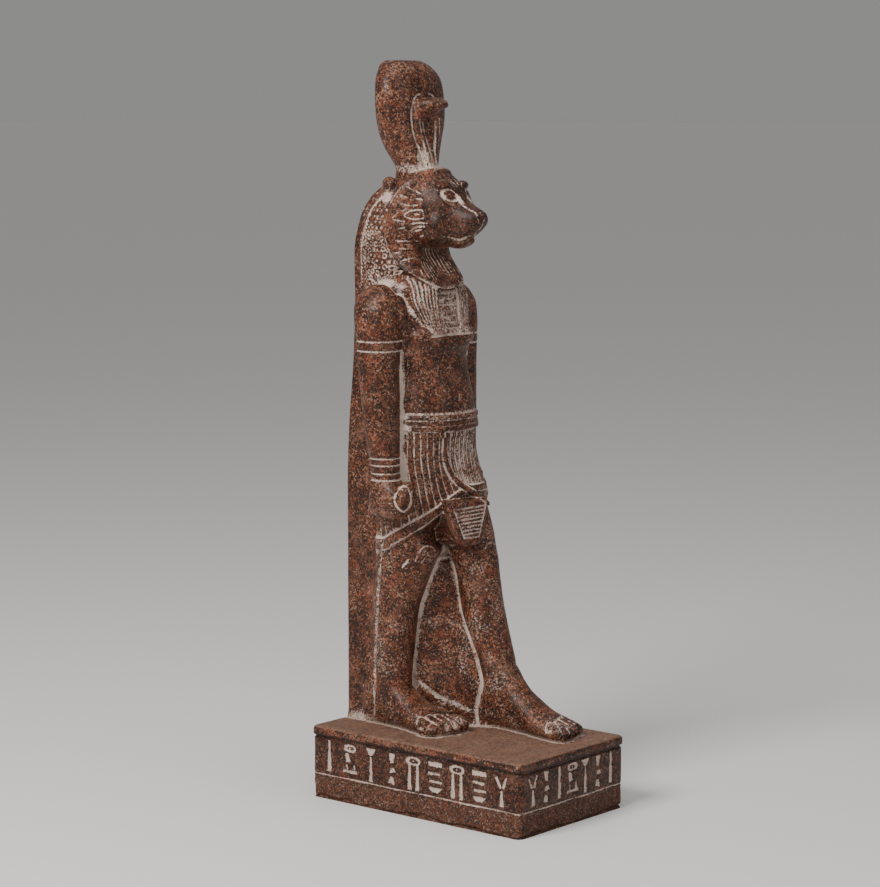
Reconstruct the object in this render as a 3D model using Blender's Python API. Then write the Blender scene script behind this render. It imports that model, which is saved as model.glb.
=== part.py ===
"""A carved granite statue of a striding lioness-headed goddess, one block with its plinth and back pillar.

The figure faces -Y, its right side is at -X, and the origin is the centre of the plinth's underside.
"""

import math

import bmesh
import bpy
import numpy as np

MM = 0.001

# Driving dimensions, in millimetres like every other length here
PLINTH_WIDTH = 114.0
PLINTH_LENGTH = 183.0
PLINTH_TOP = 49.8
LIP_HEIGHT = 6.5
LIP_OVERHANG = 0.8
PLINTH_CORNER = 5.0
INCISED_LINE = 16.8
GROOVE = 1.2
MARK_DEPTH = 0.9

PILLAR_HALF = 22.0
PILLAR_FRONT = 62.0
PILLAR_BACK = 88.5

BELT_BOTTOM = 254.1
HEM_LOWEST = 171.0
HEM_BAND = 5.0
KILT_PLEATS = 44
PLEAT_DEPTH = 0.7

LAPPET_HEM = 318.0
LAPPET_FLUTES = 6
LAPPET_PROUD = 1.6
COLLAR_HALF = 10.0

ARM_X = 43.0
FIST_TOP = 222.0
FIST_BOTTOM = 197.6

STROKE_DEPTH = 0.6
DISC_TOP = 500.0

TIDIED = 0.1
KEPT_FACES = 0.59
SHARP_ANGLE = 32.0


def clear_scene():
    for thing in list(bpy.data.objects):
        bpy.data.objects.remove(thing)


def granite():
    """Polished red-brown granite."""
    made = bpy.data.materials.new("granite")
    made.use_nodes = True
    shader = made.node_tree.nodes["Principled BSDF"]
    shader.inputs["Base Color"].default_value = (0.16, 0.065, 0.045, 1)
    shader.inputs["Roughness"].default_value = 0.42
    shader.inputs["Metallic"].default_value = 0.0
    return made


def eased(keys, positions):
    """The table keys read at positions of its first column, by a cubic that never overshoots."""
    keys = np.array(keys, float)
    t = keys[:, 0]
    step = np.diff(t)[:, None]
    slope = np.diff(keys, axis=0) / step
    tangent = np.zeros_like(keys)
    tangent[0], tangent[-1] = slope[0], slope[-1]
    same = slope[:-1] * slope[1:] > 0
    total = np.where(same, slope[:-1] + slope[1:], 1)
    tangent[1:-1] = np.where(same, 2 * slope[:-1] * slope[1:] / total, 0)
    p = np.clip(np.atleast_1d(positions), t[0], t[-1])
    i = np.clip(np.searchsorted(t, p) - 1, 0, len(t) - 2)
    u = ((p - t[i]) / step[i, 0])[:, None]
    ease = 3 * u**2 - 2 * u**3
    bend = (u**3 - 2 * u**2 + u) * tangent[i] + (u**3 - u**2) * tangent[i + 1]
    return keys[i] * (1 - ease) + keys[i + 1] * ease + bend * step[i]


def oval(count, half_x, front, back, power=2.0, start=0.0):
    """A closed outline round the origin that reaches front towards -Y and back towards +Y."""
    angles = start + np.arange(count) * 2 * math.pi / count
    c, s = np.cos(angles), np.sin(angles)
    x = half_x * np.sign(c) * np.abs(c) ** (2 / power)
    y = np.where(s > 0, back, front) * np.sign(s) * np.abs(s) ** (2 / power)
    return np.stack([x, y], 1)


def flat_ring(outline, centre, z):
    """A level ring: an outline in X and Y moved to a centre at height z."""
    ring = np.zeros((len(outline), 3))
    ring[:, :2] = outline + np.array(centre)
    ring[:, 2] = z
    return ring


def body(name, rings):
    """A closed mesh through rings of as many points each, with a flat cap at both ends."""
    count = len(rings[0])
    points = np.concatenate(rings)
    faces = [range(count), range(len(points) - count, len(points))]
    for r in range(len(rings) - 1):
        for i in range(count):
            j = (i + 1) % count
            a, b = r * count, (r + 1) * count
            faces.append((a + i, a + j, b + j, b + i))
    mesh = bpy.data.meshes.new(name)
    mesh.from_pydata((points * MM).tolist(), [], faces)
    shape = bmesh.new()
    shape.from_mesh(mesh)
    bmesh.ops.recalc_face_normals(shape, faces=shape.faces)
    bmesh.ops.triangulate(shape, faces=shape.faces)
    shape.to_mesh(mesh)
    shape.free()
    made = bpy.data.objects.new(name, mesh)
    bpy.context.scene.collection.objects.link(made)
    return made


def column(name, keys, heights, count, power=2.0):
    """A form stacked from ovals: height, centre x and y, half width, reach to the front and to the back."""
    rings = []
    for z, x, y, half, front, back in eased(keys, heights):
        rings.append(flat_ring(oval(count, half, front, back, power), (x, y), z))
    return body(name, rings)


def ball(name, centre, radii, count=12, tilt=0.0):
    """An ellipsoid, tilted about X by an angle in degrees."""
    rings = []
    bands = max(4, count // 2)
    for k in range(1, bands):
        polar = math.pi * k / bands
        ring = flat_ring(oval(count, *(np.array([1, 1, 1]) * math.sin(polar))), (0, 0), -math.cos(polar))
        rings.append(ring)
    a = math.radians(tilt)
    turn = np.array([[1, 0, 0], [0, math.cos(a), -math.sin(a)], [0, math.sin(a), math.cos(a)]])
    return body(name, [(r * np.array(radii)) @ turn.T + np.array(centre) for r in rings])


def spaced(low, high, count):
    return np.linspace(low, high, count)


# Plinth: a slab with a lip over an inscription band and a rough lower band


def rounded_rectangle(inset, corner):
    """The plinth's plan, drawn in by inset."""
    points = []
    half_x, half_y = PLINTH_WIDTH / 2 - inset - corner, PLINTH_LENGTH / 2 - inset - corner
    for quarter, (sx, sy) in enumerate(((1, 1), (-1, 1), (-1, -1), (1, -1))):
        for a in np.radians(90 * quarter + spaced(0, 90, 5)):
            points.append((sx * half_x + corner * math.cos(a), sy * half_y + corner * math.sin(a)))
    return np.array(points)


def plinth():
    lip = PLINTH_TOP - LIP_HEIGHT
    line = INCISED_LINE
    profile = (
        (0, LIP_OVERHANG),
        (line - GROOVE / 2, LIP_OVERHANG),
        (line - GROOVE / 4, LIP_OVERHANG + GROOVE / 2),
        (line + GROOVE / 4, LIP_OVERHANG + GROOVE / 2),
        (line + GROOVE / 2, LIP_OVERHANG),
        (lip, LIP_OVERHANG),
        (lip + 0.6, 0.2),
        (PLINTH_TOP - 2.2, 0),
        (PLINTH_TOP - 0.7, 0.7),
        (PLINTH_TOP, 2.4),
    )
    rings = [flat_ring(rounded_rectangle(inset, PLINTH_CORNER - inset), (0, 0), z) for z, inset in profile]
    return body("plinth", rings)


# Groups of shallow strokes in the band, none of them a letter. Each stroke is its place across and up
# from the middle of the band, its width at the foot and at the head, its height and its lean in degrees
POST = ((0, 0, 2.4, 1.2, 19, 0),)
LEAF_AND_LEVEL = ((0, 8, 7, 3.5, 2.4, 0), (-2, 1.5, 3, 2, 5, 12), (0, -7.5, 10, 9, 1.3, 0))
FLARED = ((0, 7.6, 1.6, 6.5, 4, 0), (0, -3.2, 1.9, 0.8, 15, 0))
DROPS = ((0, 6.5, 2, 4, 5.5, 0), (0.6, -1, 4, 2, 2.4, 8), (-0.3, -7.5, 3.8, 2, 3.6, -10))
LEAF_ON_POSTS = ((0, 8, 6, 10, 3, 0), (-3.2, -3, 2.6, 1.2, 15, 0), (3.2, -3, 2.2, 1.2, 15, 0))
LEVELS = ((0, 8, 9, 9, 2.4, 0), (-0.6, 2, 8, 8, 1.2, 0), (0.6, -2.8, 8, 8, 1.2, 0), (0, -8, 4, 9, 2.6, 0))
FORKED = ((-2.4, 4.5, 1, 1, 7, 28), (2.2, 5, 1, 1, 7, -22), (0, -4.6, 2.4, 1.2, 9.5, 0))
LONG_ROW = (POST, LEAF_AND_LEVEL, FLARED, DROPS, LEAF_ON_POSTS, LEVELS, LEAF_ON_POSTS, LEVELS, FORKED)
FRONT_ROW = (FORKED, DROPS, POST, LEAF_AND_LEVEL, FLARED, DROPS, POST)
FRONT_PITCH = 14.0
LONG_PITCH = 18.8


def row_of_marks(groups, pitch, face, turns):
    """Cutters for a row of stroke groups on the side of the plinth at a distance face from its middle."""
    middle = (INCISED_LINE + PLINTH_TOP - LIP_HEIGHT) / 2 + 0.2
    cutters = []
    for k, group in enumerate(groups):
        centre = (k - (len(groups) - 1) / 2) * pitch
        for across, up, foot_width, head_width, height, lean in group:
            a = math.radians(lean)
            half = height / 2
            foot, head = foot_width / 2, head_width / 2
            outline = np.array(((-foot, -half), (foot, -half), (head, half), (-head, half)))
            outline = outline @ np.array(((math.cos(a), -math.sin(a)), (math.sin(a), math.cos(a))))
            outline += np.array((centre + across, middle + up))
            rings = []
            for depth in (face - LIP_OVERHANG - MARK_DEPTH, face + 2):
                ring = np.column_stack([outline[:, 0], np.full(4, -depth), outline[:, 1]])
                for _ in range(turns):
                    ring[:, :2] = np.column_stack([ring[:, 1], -ring[:, 0]])
                rings.append(ring)
            cutters.append(body("mark", rings))
    return cutters


def marks():
    front = row_of_marks(FRONT_ROW, FRONT_PITCH, PLINTH_LENGTH / 2, 0)
    right = row_of_marks(LONG_ROW, LONG_PITCH, PLINTH_WIDTH / 2, 1)
    left = row_of_marks(LONG_ROW, LONG_PITCH, PLINTH_WIDTH / 2, 3)
    return front + right + left


# Back pillar: upright to the kilt, then leaning in to the back of the head

PILLAR = (
    (PLINTH_TOP - 3, PILLAR_HALF + 1.5, PILLAR_BACK + 1.5),
    (PLINTH_TOP + 5, PILLAR_HALF, PILLAR_BACK),
    (215, PILLAR_HALF, PILLAR_BACK),
    (250, 21.0, 88.0),
    (300, 18.8, 85.6),
    (340, 17.6, 85.0),
    (372, 17.6, 85.5),
    (396, 15, 81.5),
    (410, 13, 73.0),
    (418, 11, 62.5),
)
PILLAR_LEVELS = (PLINTH_TOP - 3, PLINTH_TOP + 5, 215, 250, 300, 340, 372, 388, 398, 405, 412, 418)


def pillar():
    rings = []
    for z, half, back in eased(PILLAR, PILLAR_LEVELS):
        bevel = 1.2
        front = min(PILLAR_FRONT, back - 12)
        corners = (
            (half, front),
            (half, back - bevel),
            (half - bevel, back),
            (bevel - half, back),
            (-half, back - bevel),
            (-half, front),
        )
        rings.append(flat_ring(np.array(corners), (0, 0), z))
    return body("pillar", rings)


# Torso, shoulders and arms

TORSO = (
    (250, 0, 34, 33.0, 30.0, 30),
    (266, 0, 34, 32.5, 29.5, 30),
    (277, 0, 34, 31.0, 28.0, 30),
    (290, 0, 34, 29.5, 24.5, 32),
    (301, 0, 34, 30.0, 20.6, 34),
    (306, 0, 34, 31.5, 21.0, 34),
    (311, 0, 34, 33.0, 23.0, 34),
    (319, 0, 35, 35.0, 21.5, 34),
    (331, 0, 38, 37.0, 22.3, 32),
    (342, 0, 41, 36.0, 24.3, 30),
    (350, 0, 43, 32.5, 25.5, 29),
    (357, 0, 45, 27.0, 24.0, 26),
    (361, 0, 46, 22.0, 19.0, 24),
)


def torso():
    """The trunk, with the breast's two halves and the flesh that runs from it to the shoulders."""
    heights = (250, 262, 276, 290, 301, 306, 311, 319, 331, 342, 350, 357, 361)
    forms = [column("torso", TORSO, heights, 24, 2.2)]
    for side in (-1, 1):
        forms.append(ball("breast", (side * 15, 24, 317), (16, 12.5, 9.5), 12))
        forms.append(ball("armpit", (side * 34, 32.5 if side < 0 else 35, 331), (9, 8, 15), 10))
    return forms


def torso_point(angle, z, proud=0.0):
    """The torso's surface at an angle about its axis, 0 at the front and positive to the figure's left."""
    _, x, y, half, front, _ = eased(TORSO, z)[0]
    s, c = math.sin(angle), math.cos(angle)
    reach = 2 / 2.2
    return (
        x + (half + proud) * math.copysign(abs(s) ** reach, s),
        y - (front + proud) * abs(c) ** reach,
        z,
    )


ARM = (
    (FIST_TOP - 2, 0, -6.0, 9.3, 9.3, 9.3),
    (235, 0, -5.2, 9.8, 10.3, 10.3),
    (255, 0, -3.5, 11.8, 12.0, 12.0),
    (276, 0, -2.0, 13.0, 13.2, 13.2),
    (300, 0, -0.6, 14.3, 14.3, 14.3),
    (322, 0, 0.0, 15.2, 15.5, 16.0),
    (335, -0.6, 1.0, 15.0, 16.0, 16.5),
    (344, -2.0, 2.0, 12.5, 13.5, 14.0),
    (350, -3.5, 2.5, 7.0, 8.0, 8.0),
    (352, -4.0, 2.5, 2.5, 3.0, 3.0),
)
ARMLETS = (315.0, 308.6)
BRACELETS = (237.0, 232.4, 227.0, 222.8)
FIST = (
    (FIST_BOTTOM, 0, -10.0, 6.0, 10.0, 10.0),
    (200, 0, -10.5, 9.0, 14.0, 14.0),
    (208, 0, -11.5, 10.6, 16.5, 16.0),
    (216, 0, -9.5, 10.4, 14.0, 13.0),
    (FIST_TOP, 0, -6.5, 9.4, 10.0, 9.5),
    (FIST_TOP + 2, 0, -6.0, 8.5, 9.0, 9.0),
)


def placed(keys, x, y, side):
    """Key ovals moved to an arm's axis; side is -1 for the figure's right and 1 for its left."""
    return [(z, side * (x + dx), y + dy, *rest) for z, dx, dy, *rest in keys]


def fist_y(side):
    """Where a fist stands; the left one is a little further back, behind the flap."""
    return 41.0 if side < 0 else 49.5


def arm(side):
    name = "right" if side < 0 else "left"
    y = 41.0 if side < 0 else 46.0
    keys = placed(ARM, ARM_X, y, side)
    heights = (220, 255, 285, 322, 334, 342, 347, 350.5, 352)
    grooves = []
    for z in BRACELETS + ARMLETS:
        grooves += [(z - GROOVE / 2, 0), (z, GROOVE / 2), (z + GROOVE / 2, 0)]
    rings = []
    for z, cut in sorted([(h, 0) for h in heights] + grooves):
        _, cx, cy, half, front, back = eased(keys, z)[0]
        rings.append(flat_ring(oval(14, half - cut, front - cut, back - cut), (cx, cy), z))
    upper = body("arm " + name, rings)
    keys = placed(FIST, ARM_X + 0.5, fist_y(side), side)
    fist = column("fist " + name, keys, spaced(FIST_BOTTOM, FIST_TOP + 2, 7), 14, 2.6)
    return [upper, fist]


def held_cylinder(side):
    """The end of the short rod that each fist holds, as a low round boss on the front of the fist."""
    rings = []
    for reach, radius in ((8, 6.6), (-1.0, 6.6), (-1.6, 5.8)):
        outline = oval(12, radius, radius * 1.15, radius * 1.15)
        ring = np.zeros((12, 3))
        ring[:, 0] = side * (ARM_X + 1.0 - 2.5 * side) + outline[:, 0]
        ring[:, 1] = fist_y(side) - 26.5 + reach
        ring[:, 2] = 209.5 + outline[:, 1]
        rings.append(ring)
    return body("rod", rings)


def arm_web(side):
    """The stone left between an arm and the body, with a flat front."""
    y = 27.5 if side < 0 else 31.0
    rings = []
    for z in (208, 338):
        corners = np.array(((22, y), (38, y), (38, 52), (22, 58)))
        corners[:, 0] *= side
        rings.append(flat_ring(corners, (0, 0), z))
    return body("arm web", rings)


# Kilt: one skin stretched over both thighs, with slanting pleats and a rising hem

RIGHT_THIGH = (
    (HEM_LOWEST, -18.0, 40.0, 17.0, 17.0, 20),
    (190, -18.0, 38.5, 17.8, 18.0, 22),
    (212, -15.0, 36.0, 19.0, 18.5, 24),
    (235, -8.0, 33.0, 25.0, 21.5, 26),
    (BELT_BOTTOM + 1, 0, 30.5, 33.8, 26.0, 30),
)
LEFT_THIGH = (
    (HEM_LOWEST, 21.0, 14.0, 16.0, 18.0, 30),
    (190, 20.5, 16.5, 16.5, 17.5, 32),
    (212, 17.5, 21.0, 18.0, 18.5, 32),
    (235, 9.0, 26.5, 23.5, 20.5, 32),
    (BELT_BOTTOM + 1, 0, 30.5, 33.8, 26.0, 30),
)


# The hem's lower edge, from the front to the back: Y and height
HEM = ((5, 211.5), (10.3, 204.3), (14.7, 196.8), (21.9, 187.7), (33.5, 178.6), (45, 172), (60, HEM_LOWEST))
# How far each pleat drifts round the body from the belt to the hem, where 0 and 1 are the figure's left
# and 0.75 is its front
PLEAT_DRIFT = (
    (0, 0),
    (0.3, 0),
    (0.45, 0.07),
    (0.55, 0.088),
    (0.7, 0.08),
    (0.79, 0.034),
    (0.88, 0.01),
    (1, 0),
)


def stretched(z, starts):
    """The outline of a cloth drawn tight round both thighs at height z, at shares of the way round."""
    lobes = [eased(keys, z)[0] for keys in (RIGHT_THIGH, LEFT_THIGH)]
    angles = np.arange(240) * 2 * math.pi / 240
    c, s = np.cos(angles), np.sin(angles)
    best, reach = None, None
    for _, x, y, half, front, back in lobes:
        depth = np.where(s > 0, back, front)
        size = np.sqrt((half * c) ** 2 + (depth * s) ** 2)
        support = x * c + y * s + size
        points = np.stack([x + half**2 * c / size, y + depth**2 * s / size], 1)
        if best is None:
            best, reach = points, support
        else:
            best = np.where((support > reach)[:, None], points, best)
    loop = np.concatenate([best, best[:1]])
    lengths = np.concatenate([[0], np.cumsum(np.linalg.norm(np.diff(loop, axis=0), axis=1))])
    wanted = starts % 1 * lengths[-1]
    return np.stack([np.interp(wanted, lengths, loop[:, k]) for k in (0, 1)], 1)


def outward(outline):
    """Unit vectors that point out of a closed anticlockwise outline."""
    along = np.roll(outline, -1, axis=0) - np.roll(outline, 1, axis=0)
    out = np.stack([along[:, 1], -along[:, 0]], 1)
    return out / np.linalg.norm(out, axis=1)[:, None]


def kilt_ring(share, count, proud):
    """The kilt's skin at a share of the way from the belt, 0, to the hem, 1."""
    top = BELT_BOTTOM + 1
    ring = np.zeros((count, 2))
    turns = np.arange(count) / count
    levels = spaced(HEM_LOWEST, top, 9)
    stack = np.array([stretched(z, turns + share * eased(PLEAT_DRIFT, turns)[:, 1]) for z in levels])
    for _ in range(10):
        heights = top - share * (top - eased(HEM, ring[:, 1])[:, 1])
        where = np.interp(heights, levels, np.arange(len(levels)))
        below = np.clip(where.astype(int), 0, len(levels) - 2)
        part = (where - below)[:, None]
        index = np.arange(count)
        ring = stack[below, index] * (1 - part) + stack[below + 1, index] * part
    ring = ring + outward(ring) * np.atleast_1d(proud)[:, None]
    return np.column_stack([ring, heights])


def kilt():
    """Pleats alternate ridge and valley, and a plain raised band follows the hem."""
    count = 2 * KILT_PLEATS
    pleat = np.where(np.arange(count) % 2, -PLEAT_DEPTH, 0.0)
    band = 1 - HEM_BAND / 45
    rings = [kilt_ring(share, count, pleat) for share in (0, 0.3, 0.6, band - 0.005)]
    rings += [kilt_ring(share, count, 0.6) for share in (band, 1)]
    middle = np.array((0, 28))
    for size in (0.5, 0.03):
        ring = middle + (rings[5][:, :2] - middle) * size
        rings.append(np.column_stack([ring, eased(HEM, ring[:, 1])[:, 1]]))
    return body("kilt", rings[::-1])


# The edge of the left flap, which laps over the right one: X and height
FLAP_EDGE = (
    (-13.0, 254.0),
    (-12.2, 246.0),
    (-10.6, 238.0),
    (-7.2, 229.0),
    (-1.5, 220.5),
    (6.0, 213.8),
    (16.0, 207.5),
    (26.0, 201.5),
)
FLAP_HALF = 1.5
FLAP_PROUD = 0.9


def kilt_front(x, z):
    """The kilt's skin as Y, straight ahead of a point."""
    skin = stretched(z, np.arange(240) / 240)
    skin = skin[skin[:, 1] < RIGHT_THIGH[0][2]]
    skin = skin[np.argsort(skin[:, 0])]
    return np.interp(x, skin[:, 0], skin[:, 1])


def flap_border():
    """A plain raised strip along the edge of the left flap."""
    path = np.array(FLAP_EDGE)
    rings = []
    for (x, z), (dx, dz) in zip(path, np.gradient(path, axis=0)):
        across = np.array((dz, -dx)) / math.hypot(dx, dz) * FLAP_HALF
        ring = []
        for side, proud in ((-1, FLAP_PROUD), (1, FLAP_PROUD), (1, -4), (-1, -4)):
            px, pz = x + side * across[0], z + side * across[1]
            ring.append((px, kilt_front(px, pz) - proud, pz))
        rings.append(np.array(ring))
    return body("flap border", rings)


# The belt's section: rise above its lower edge, distance in front of the waist
BELT_PROFILE = (
    (-1.5, -1),
    (0, 0.9),
    (3, 1.3),
    (4.2, 0.6),
    (5.4, 1.3),
    (8, 1.3),
    (9.2, 0.6),
    (10.2, 1.2),
    (11.5, 0.9),
    (13, -1),
)


def belt():
    """Three cords over each other, proud of the waist."""
    rings = []
    for rise, proud in BELT_PROFILE:
        z = BELT_BOTTOM + rise
        _, cx, cy, half, front, back = eased(TORSO, z)[0]
        rings.append(flat_ring(oval(28, half + 0.8 + proud, front + 0.4 + proud, back, 2.2), (cx, cy), z))
    return body("belt", rings)


# Legs and feet

RIGHT_LEG = (
    (PLINTH_TOP + 8, -18.0, 49.5, 11.0, 12.0, 15),
    (80, -18.0, 49.5, 11.5, 13.0, 15),
    (95, -18.0, 49.0, 12.2, 13.5, 16),
    (112, -18.0, 48.0, 13.8, 14.5, 17),
    (130, -18.3, 45.3, 14.2, 14.3, 20),
    (145, -17.3, 42.5, 15.6, 16.3, 22),
    (157, -15.8, 40.5, 17.6, 18.0, 22),
    (164, -14.0, 39.6, 19.4, 19.0, 18),
    (172, -12.2, 38.6, 21.0, 20.4, 17),
    (180, -14.2, 38.8, 18.8, 17.6, 16),
    (215, -15.0, 36.0, 15.5, 15.0, 18),
)
LEFT_LEG = (
    (PLINTH_TOP + 8, 23.0, -12.0, 11.0, 10.0, 13),
    (80, 23.0, -11.0, 11.6, 12.0, 13),
    (95, 22.5, -8.5, 12.2, 12.8, 13),
    (108, 22.0, -4.0, 13.2, 13.6, 14),
    (128, 22.0, 2.5, 14.2, 14.4, 16.6),
    (148, 22.0, 6.5, 14.0, 14.4, 18),
    (163, 21.6, 9.6, 15.0, 15.6, 18.8),
    (172, 20.6, 12.4, 16.2, 16.6, 21),
    (180, 21.0, 13.6, 15.4, 16.4, 20.6),
    (215, 17.0, 21.0, 15.0, 15.0, 20),
)


def leg(name, keys):
    return column(name, keys, spaced(keys[0][0], keys[-1][0], 12), 18)


# A foot's ovals along its length: distance behind the toe tips, half width, height
FOOT = (
    (7, 14.5, 9.5),
    (17, 16.0, 12.5),
    (28, 14.8, 16.5),
    (38, 13.0, 23.5),
    (46, 12.0, 30.0),
    (52, 11.6, 37.5),
    (58, 11.2, 46.0),
    (72, 10.5, 44.0),
    (78, 8.0, 30.0),
)


def foot(side, centre, tip):
    """A foot flat on the plinth whose big toe ends at tip, with the big toe on the figure's inner side."""
    rings = []
    for reach, half, high in eased(FOOT, (7, 14, 22, 31, 39, 46, 52, 58, 72, 78)):
        outline = oval(16, half, high / 2 + 1, high / 2 + 1, 2.2)
        z = PLINTH_TOP - 1 + high / 2 - outline[:, 1]
        rings.append(np.column_stack([centre + outline[:, 0], np.full(16, tip + reach), z]))
    forms = [body("foot", rings)]
    for k in range(5):
        half, high, length = (4.4, 10.5, 17.0) if k == 0 else (3.2, 9.2 - 0.4 * k, 15.0)
        x = centre - side * (11.6 - 6.0 * k - (1.6 if k else 0))
        y = tip + length / 2 + 0.2 * k + 0.45 * k * k
        forms.append(ball("toe", (x, y, PLINTH_TOP + high * 0.45), (half, length / 2, high * 0.55), 10))
    if side > 0:
        forms.append(ball("heel", (centre, tip + 74.5, PLINTH_TOP + 11.5), (10.8, 11, 11.5), 14))
    return forms


# Where the stone left behind the right calf ends, beside the pillar: height, X and Y
CALF_WEB = (
    (PLINTH_TOP - 2, -24.5, 62.0),
    (76, -26.5, 60.5),
    (104, -28.3, 58.5),
    (137, -30.4, 55.0),
    (158, -32.4, 50.5),
    (176, -33.6, 47.5),
)


def calf_web():
    """The stone left between the right calf and the pillar."""
    rings = []
    for z, x, y in CALF_WEB:
        corners = ((x + 1, y), (-21, 66), (-8, 66), (-8, y - 4), (x + 5, y - 4))
        rings.append(flat_ring(np.array(corners), (0, 0), z))
    return body("calf web", rings)


# Where the stone between the legs meets each: height, X and Y at the right leg, X and Y at the left leg
LEG_WEB = (
    (PLINTH_TOP - 2, -8.0, 40.0, 12.5, 0.0),
    (63, -8.0, 40.0, 12.9, 1.9),
    (79, -9.8, 39.0, 13.3, -2.1),
    (89, -10.0, 38.6, 13.6, -0.3),
    (104, -9.2, 37.8, 12.9, 4.5),
    (121, -8.5, 36.0, 12.1, 12.3),
    (136, -7.8, 32.4, 11.8, 15.8),
    (152, -5.2, 27.5, 10.5, 18.1),
    (160, -1.5, 26.0, 9.4, 20.4),
    (168, 2.5, 25.5, 8.0, 25.5),
    (200, 2.0, 25.5, 8.0, 25.5),
)


def leg_web():
    """The stone left between the legs, sunk a step behind both, back to the pillar."""
    rings = []
    for z, *ends in LEG_WEB:
        rear, front = np.array(ends[:2]), np.array(ends[2:])
        along = (front - rear) / np.linalg.norm(front - rear)
        rear, front = rear - 8 * along, front + 9 * along
        corners = (rear, front, (24, front[1] - 2), (23, 67), (-12, 67))
        rings.append(flat_ring(np.array(corners), (0, 0), z))
    return body("leg web", rings)


# The tab's front from its foot up: height, middle, half width, Y
APRON = (
    (176.5, 0.0, 8.0, -5.6),
    (180.5, 0.0, 12.0, -5.0),
    (190, 0.2, 16.0, -3.6),
    (200, 0.4, 19.5, -2.2),
    (207, 0.5, 21.0, -1.0),
)
APRON_TOP, APRON_BOTTOM = 207.0, 176.5
APRON_RIDGES = 8


def apron():
    """The stiff trapezoid tab under the crossing hems, with level ridges."""
    pitch = (APRON_TOP - APRON_BOTTOM - 7) / APRON_RIDGES
    profile = [(APRON_BOTTOM, 1.5), (APRON_BOTTOM + 2, 0)]
    for k in range(APRON_RIDGES):
        z = APRON_BOTTOM + 5 + k * pitch
        profile += [(z, 0), (z + pitch / 2, 0.8)]
    profile += [(APRON_TOP - 2, 0), (APRON_TOP, 0)]
    rings = []
    for z, cut in profile:
        _, middle, half, front = eased(APRON, z)[0]
        front += cut
        right = ((half, front + 1.5), (half - 2, front + 8), (max(half - 8, 4), front + 10.5), (4, 33))
        left = [(-x, y) for x, y in right[::-1]]
        outline = np.array([*right, *left, (1 - half, front), (half - 1, front)])
        rings.append(flat_ring(outline, (middle, 0), z))
    return body("apron", rings)


# Wig, mane and head

WIG = (
    (338, 0, 50, 27.0, 22, 34),
    (350, 0, 51, 27.5, 22, 35),
    (362, 0, 52, 27.5, 18, 34),
    (375, 0, 53, 27.5, 18, 33),
    (388, 0, 53, 27.5, 18, 31),
    (400, 0, 51, 26.5, 18, 28),
    (411, 0, 48, 23.5, 18, 22),
    (419, 0, 46, 18.0, 16, 15),
    (425, 0, 44, 11.0, 14, 9),
)
# The mane's rim, where it meets the wig and the chest: height, half width, Y
RIM = (
    (348.0, 0.0, 15.4),
    (349.0, 9.0, 15.9),
    (352.0, 17.5, 18.2),
    (356.0, 22.6, 23.8),
    (363.0, 26.3, 36.0),
    (368.0, 26.9, 41.5),
    (375.0, 27.4, 46.4),
    (386.0, 28.2, 48.8),
    (402.0, 28.0, 45.3),
    (413.0, 25.5, 40.0),
    (421.0, 20.0, 34.5),
    (426.0, 12.0, 31.0),
    (428.0, 0.0, 30.0),
)


def wig():
    return column("wig", WIG, spaced(338, 425, 10), 24, 2.3)


def rim_point(turn):
    """The rim at a turn from 0 at the chest, up the figure's left side to 0.5 on the crown, and down to 1."""
    keys = np.array(RIM)
    side = np.concatenate([[0], np.cumsum(np.linalg.norm(np.diff(keys, axis=0), axis=1))])
    along = (1 - abs(2 * turn - 1)) * side[-1]
    z, x, y = (np.interp(along, side, keys[:, k]) for k in range(3))
    return np.array((x if turn < 0.5 else -x, y, z))


def face_point(turn):
    """The edge of the face, which the mane frames, at the same turn."""
    a = 2 * math.pi * turn
    return np.array((18 * math.sin(a), 28 + 7 * math.cos(a), 399 - 26 * math.cos(a)))


# The mane's swell from its rim, 0, to the face, 1: on the cheeks, and under the chin where it is hollow
MANE_SWELL = (
    (-0.5, -3, -3),
    (0, -0.6, -0.6),
    (0.06, 1.0, 1.2),
    (0.2, 2.2, 1.4),
    (0.45, 3.2, -1.2),
    (0.75, 2.6, -3),
    (1, 0, 0),
)
MANE_MIDDLE = np.array((0, 40, 390))


def mane_point(turn, share, proud=0.0):
    """The mane's skin at a turn and a share of the way from rim to face; below 0 it is inside the wig."""
    rim, face = rim_point(turn), face_point(turn)
    _, cheek, chin = eased(MANE_SWELL, share)[0]
    lift = chin + (cheek - chin) * min(1, 2 * math.sin(math.pi * turn) ** 2)
    out = (rim - MANE_MIDDLE) / np.linalg.norm(rim - MANE_MIDDLE)
    point = rim + (face - rim) * max(share, 0)
    if share < 0:
        point = point + (MANE_MIDDLE - point) * 0.3 + np.array((0, 14, 0))
    return point + out * (lift * 0.8 + proud) + np.array((0, -0.5 * lift, 0))


def mane():
    """A full smooth ruff from the face out to the rim and on down over the throat."""
    turns = np.arange(36) / 36
    return body("mane", [np.array([mane_point(turn, share) for turn in turns]) for share, *_ in MANE_SWELL])


# Strokes cut into each cheek: turn and share of one end, then of the other
MANE_STROKES = (
    (0.288, 0.20, 0.250, 0.70),
    (0.326, 0.33, 0.298, 0.74),
    (0.288, 0.62, 0.275, 0.92),
    (0.262, 0.70, 0.247, 0.92),
    (0.234, 0.58, 0.230, 0.90),
    (0.208, 0.60, 0.214, 0.90),
    (0.222, 0.31, 0.170, 0.75),
    (0.172, 0.12, 0.116, 0.53),
    (0.360, 0.16, 0.332, 0.59),
)
STROKE_HALF = 0.004


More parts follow.
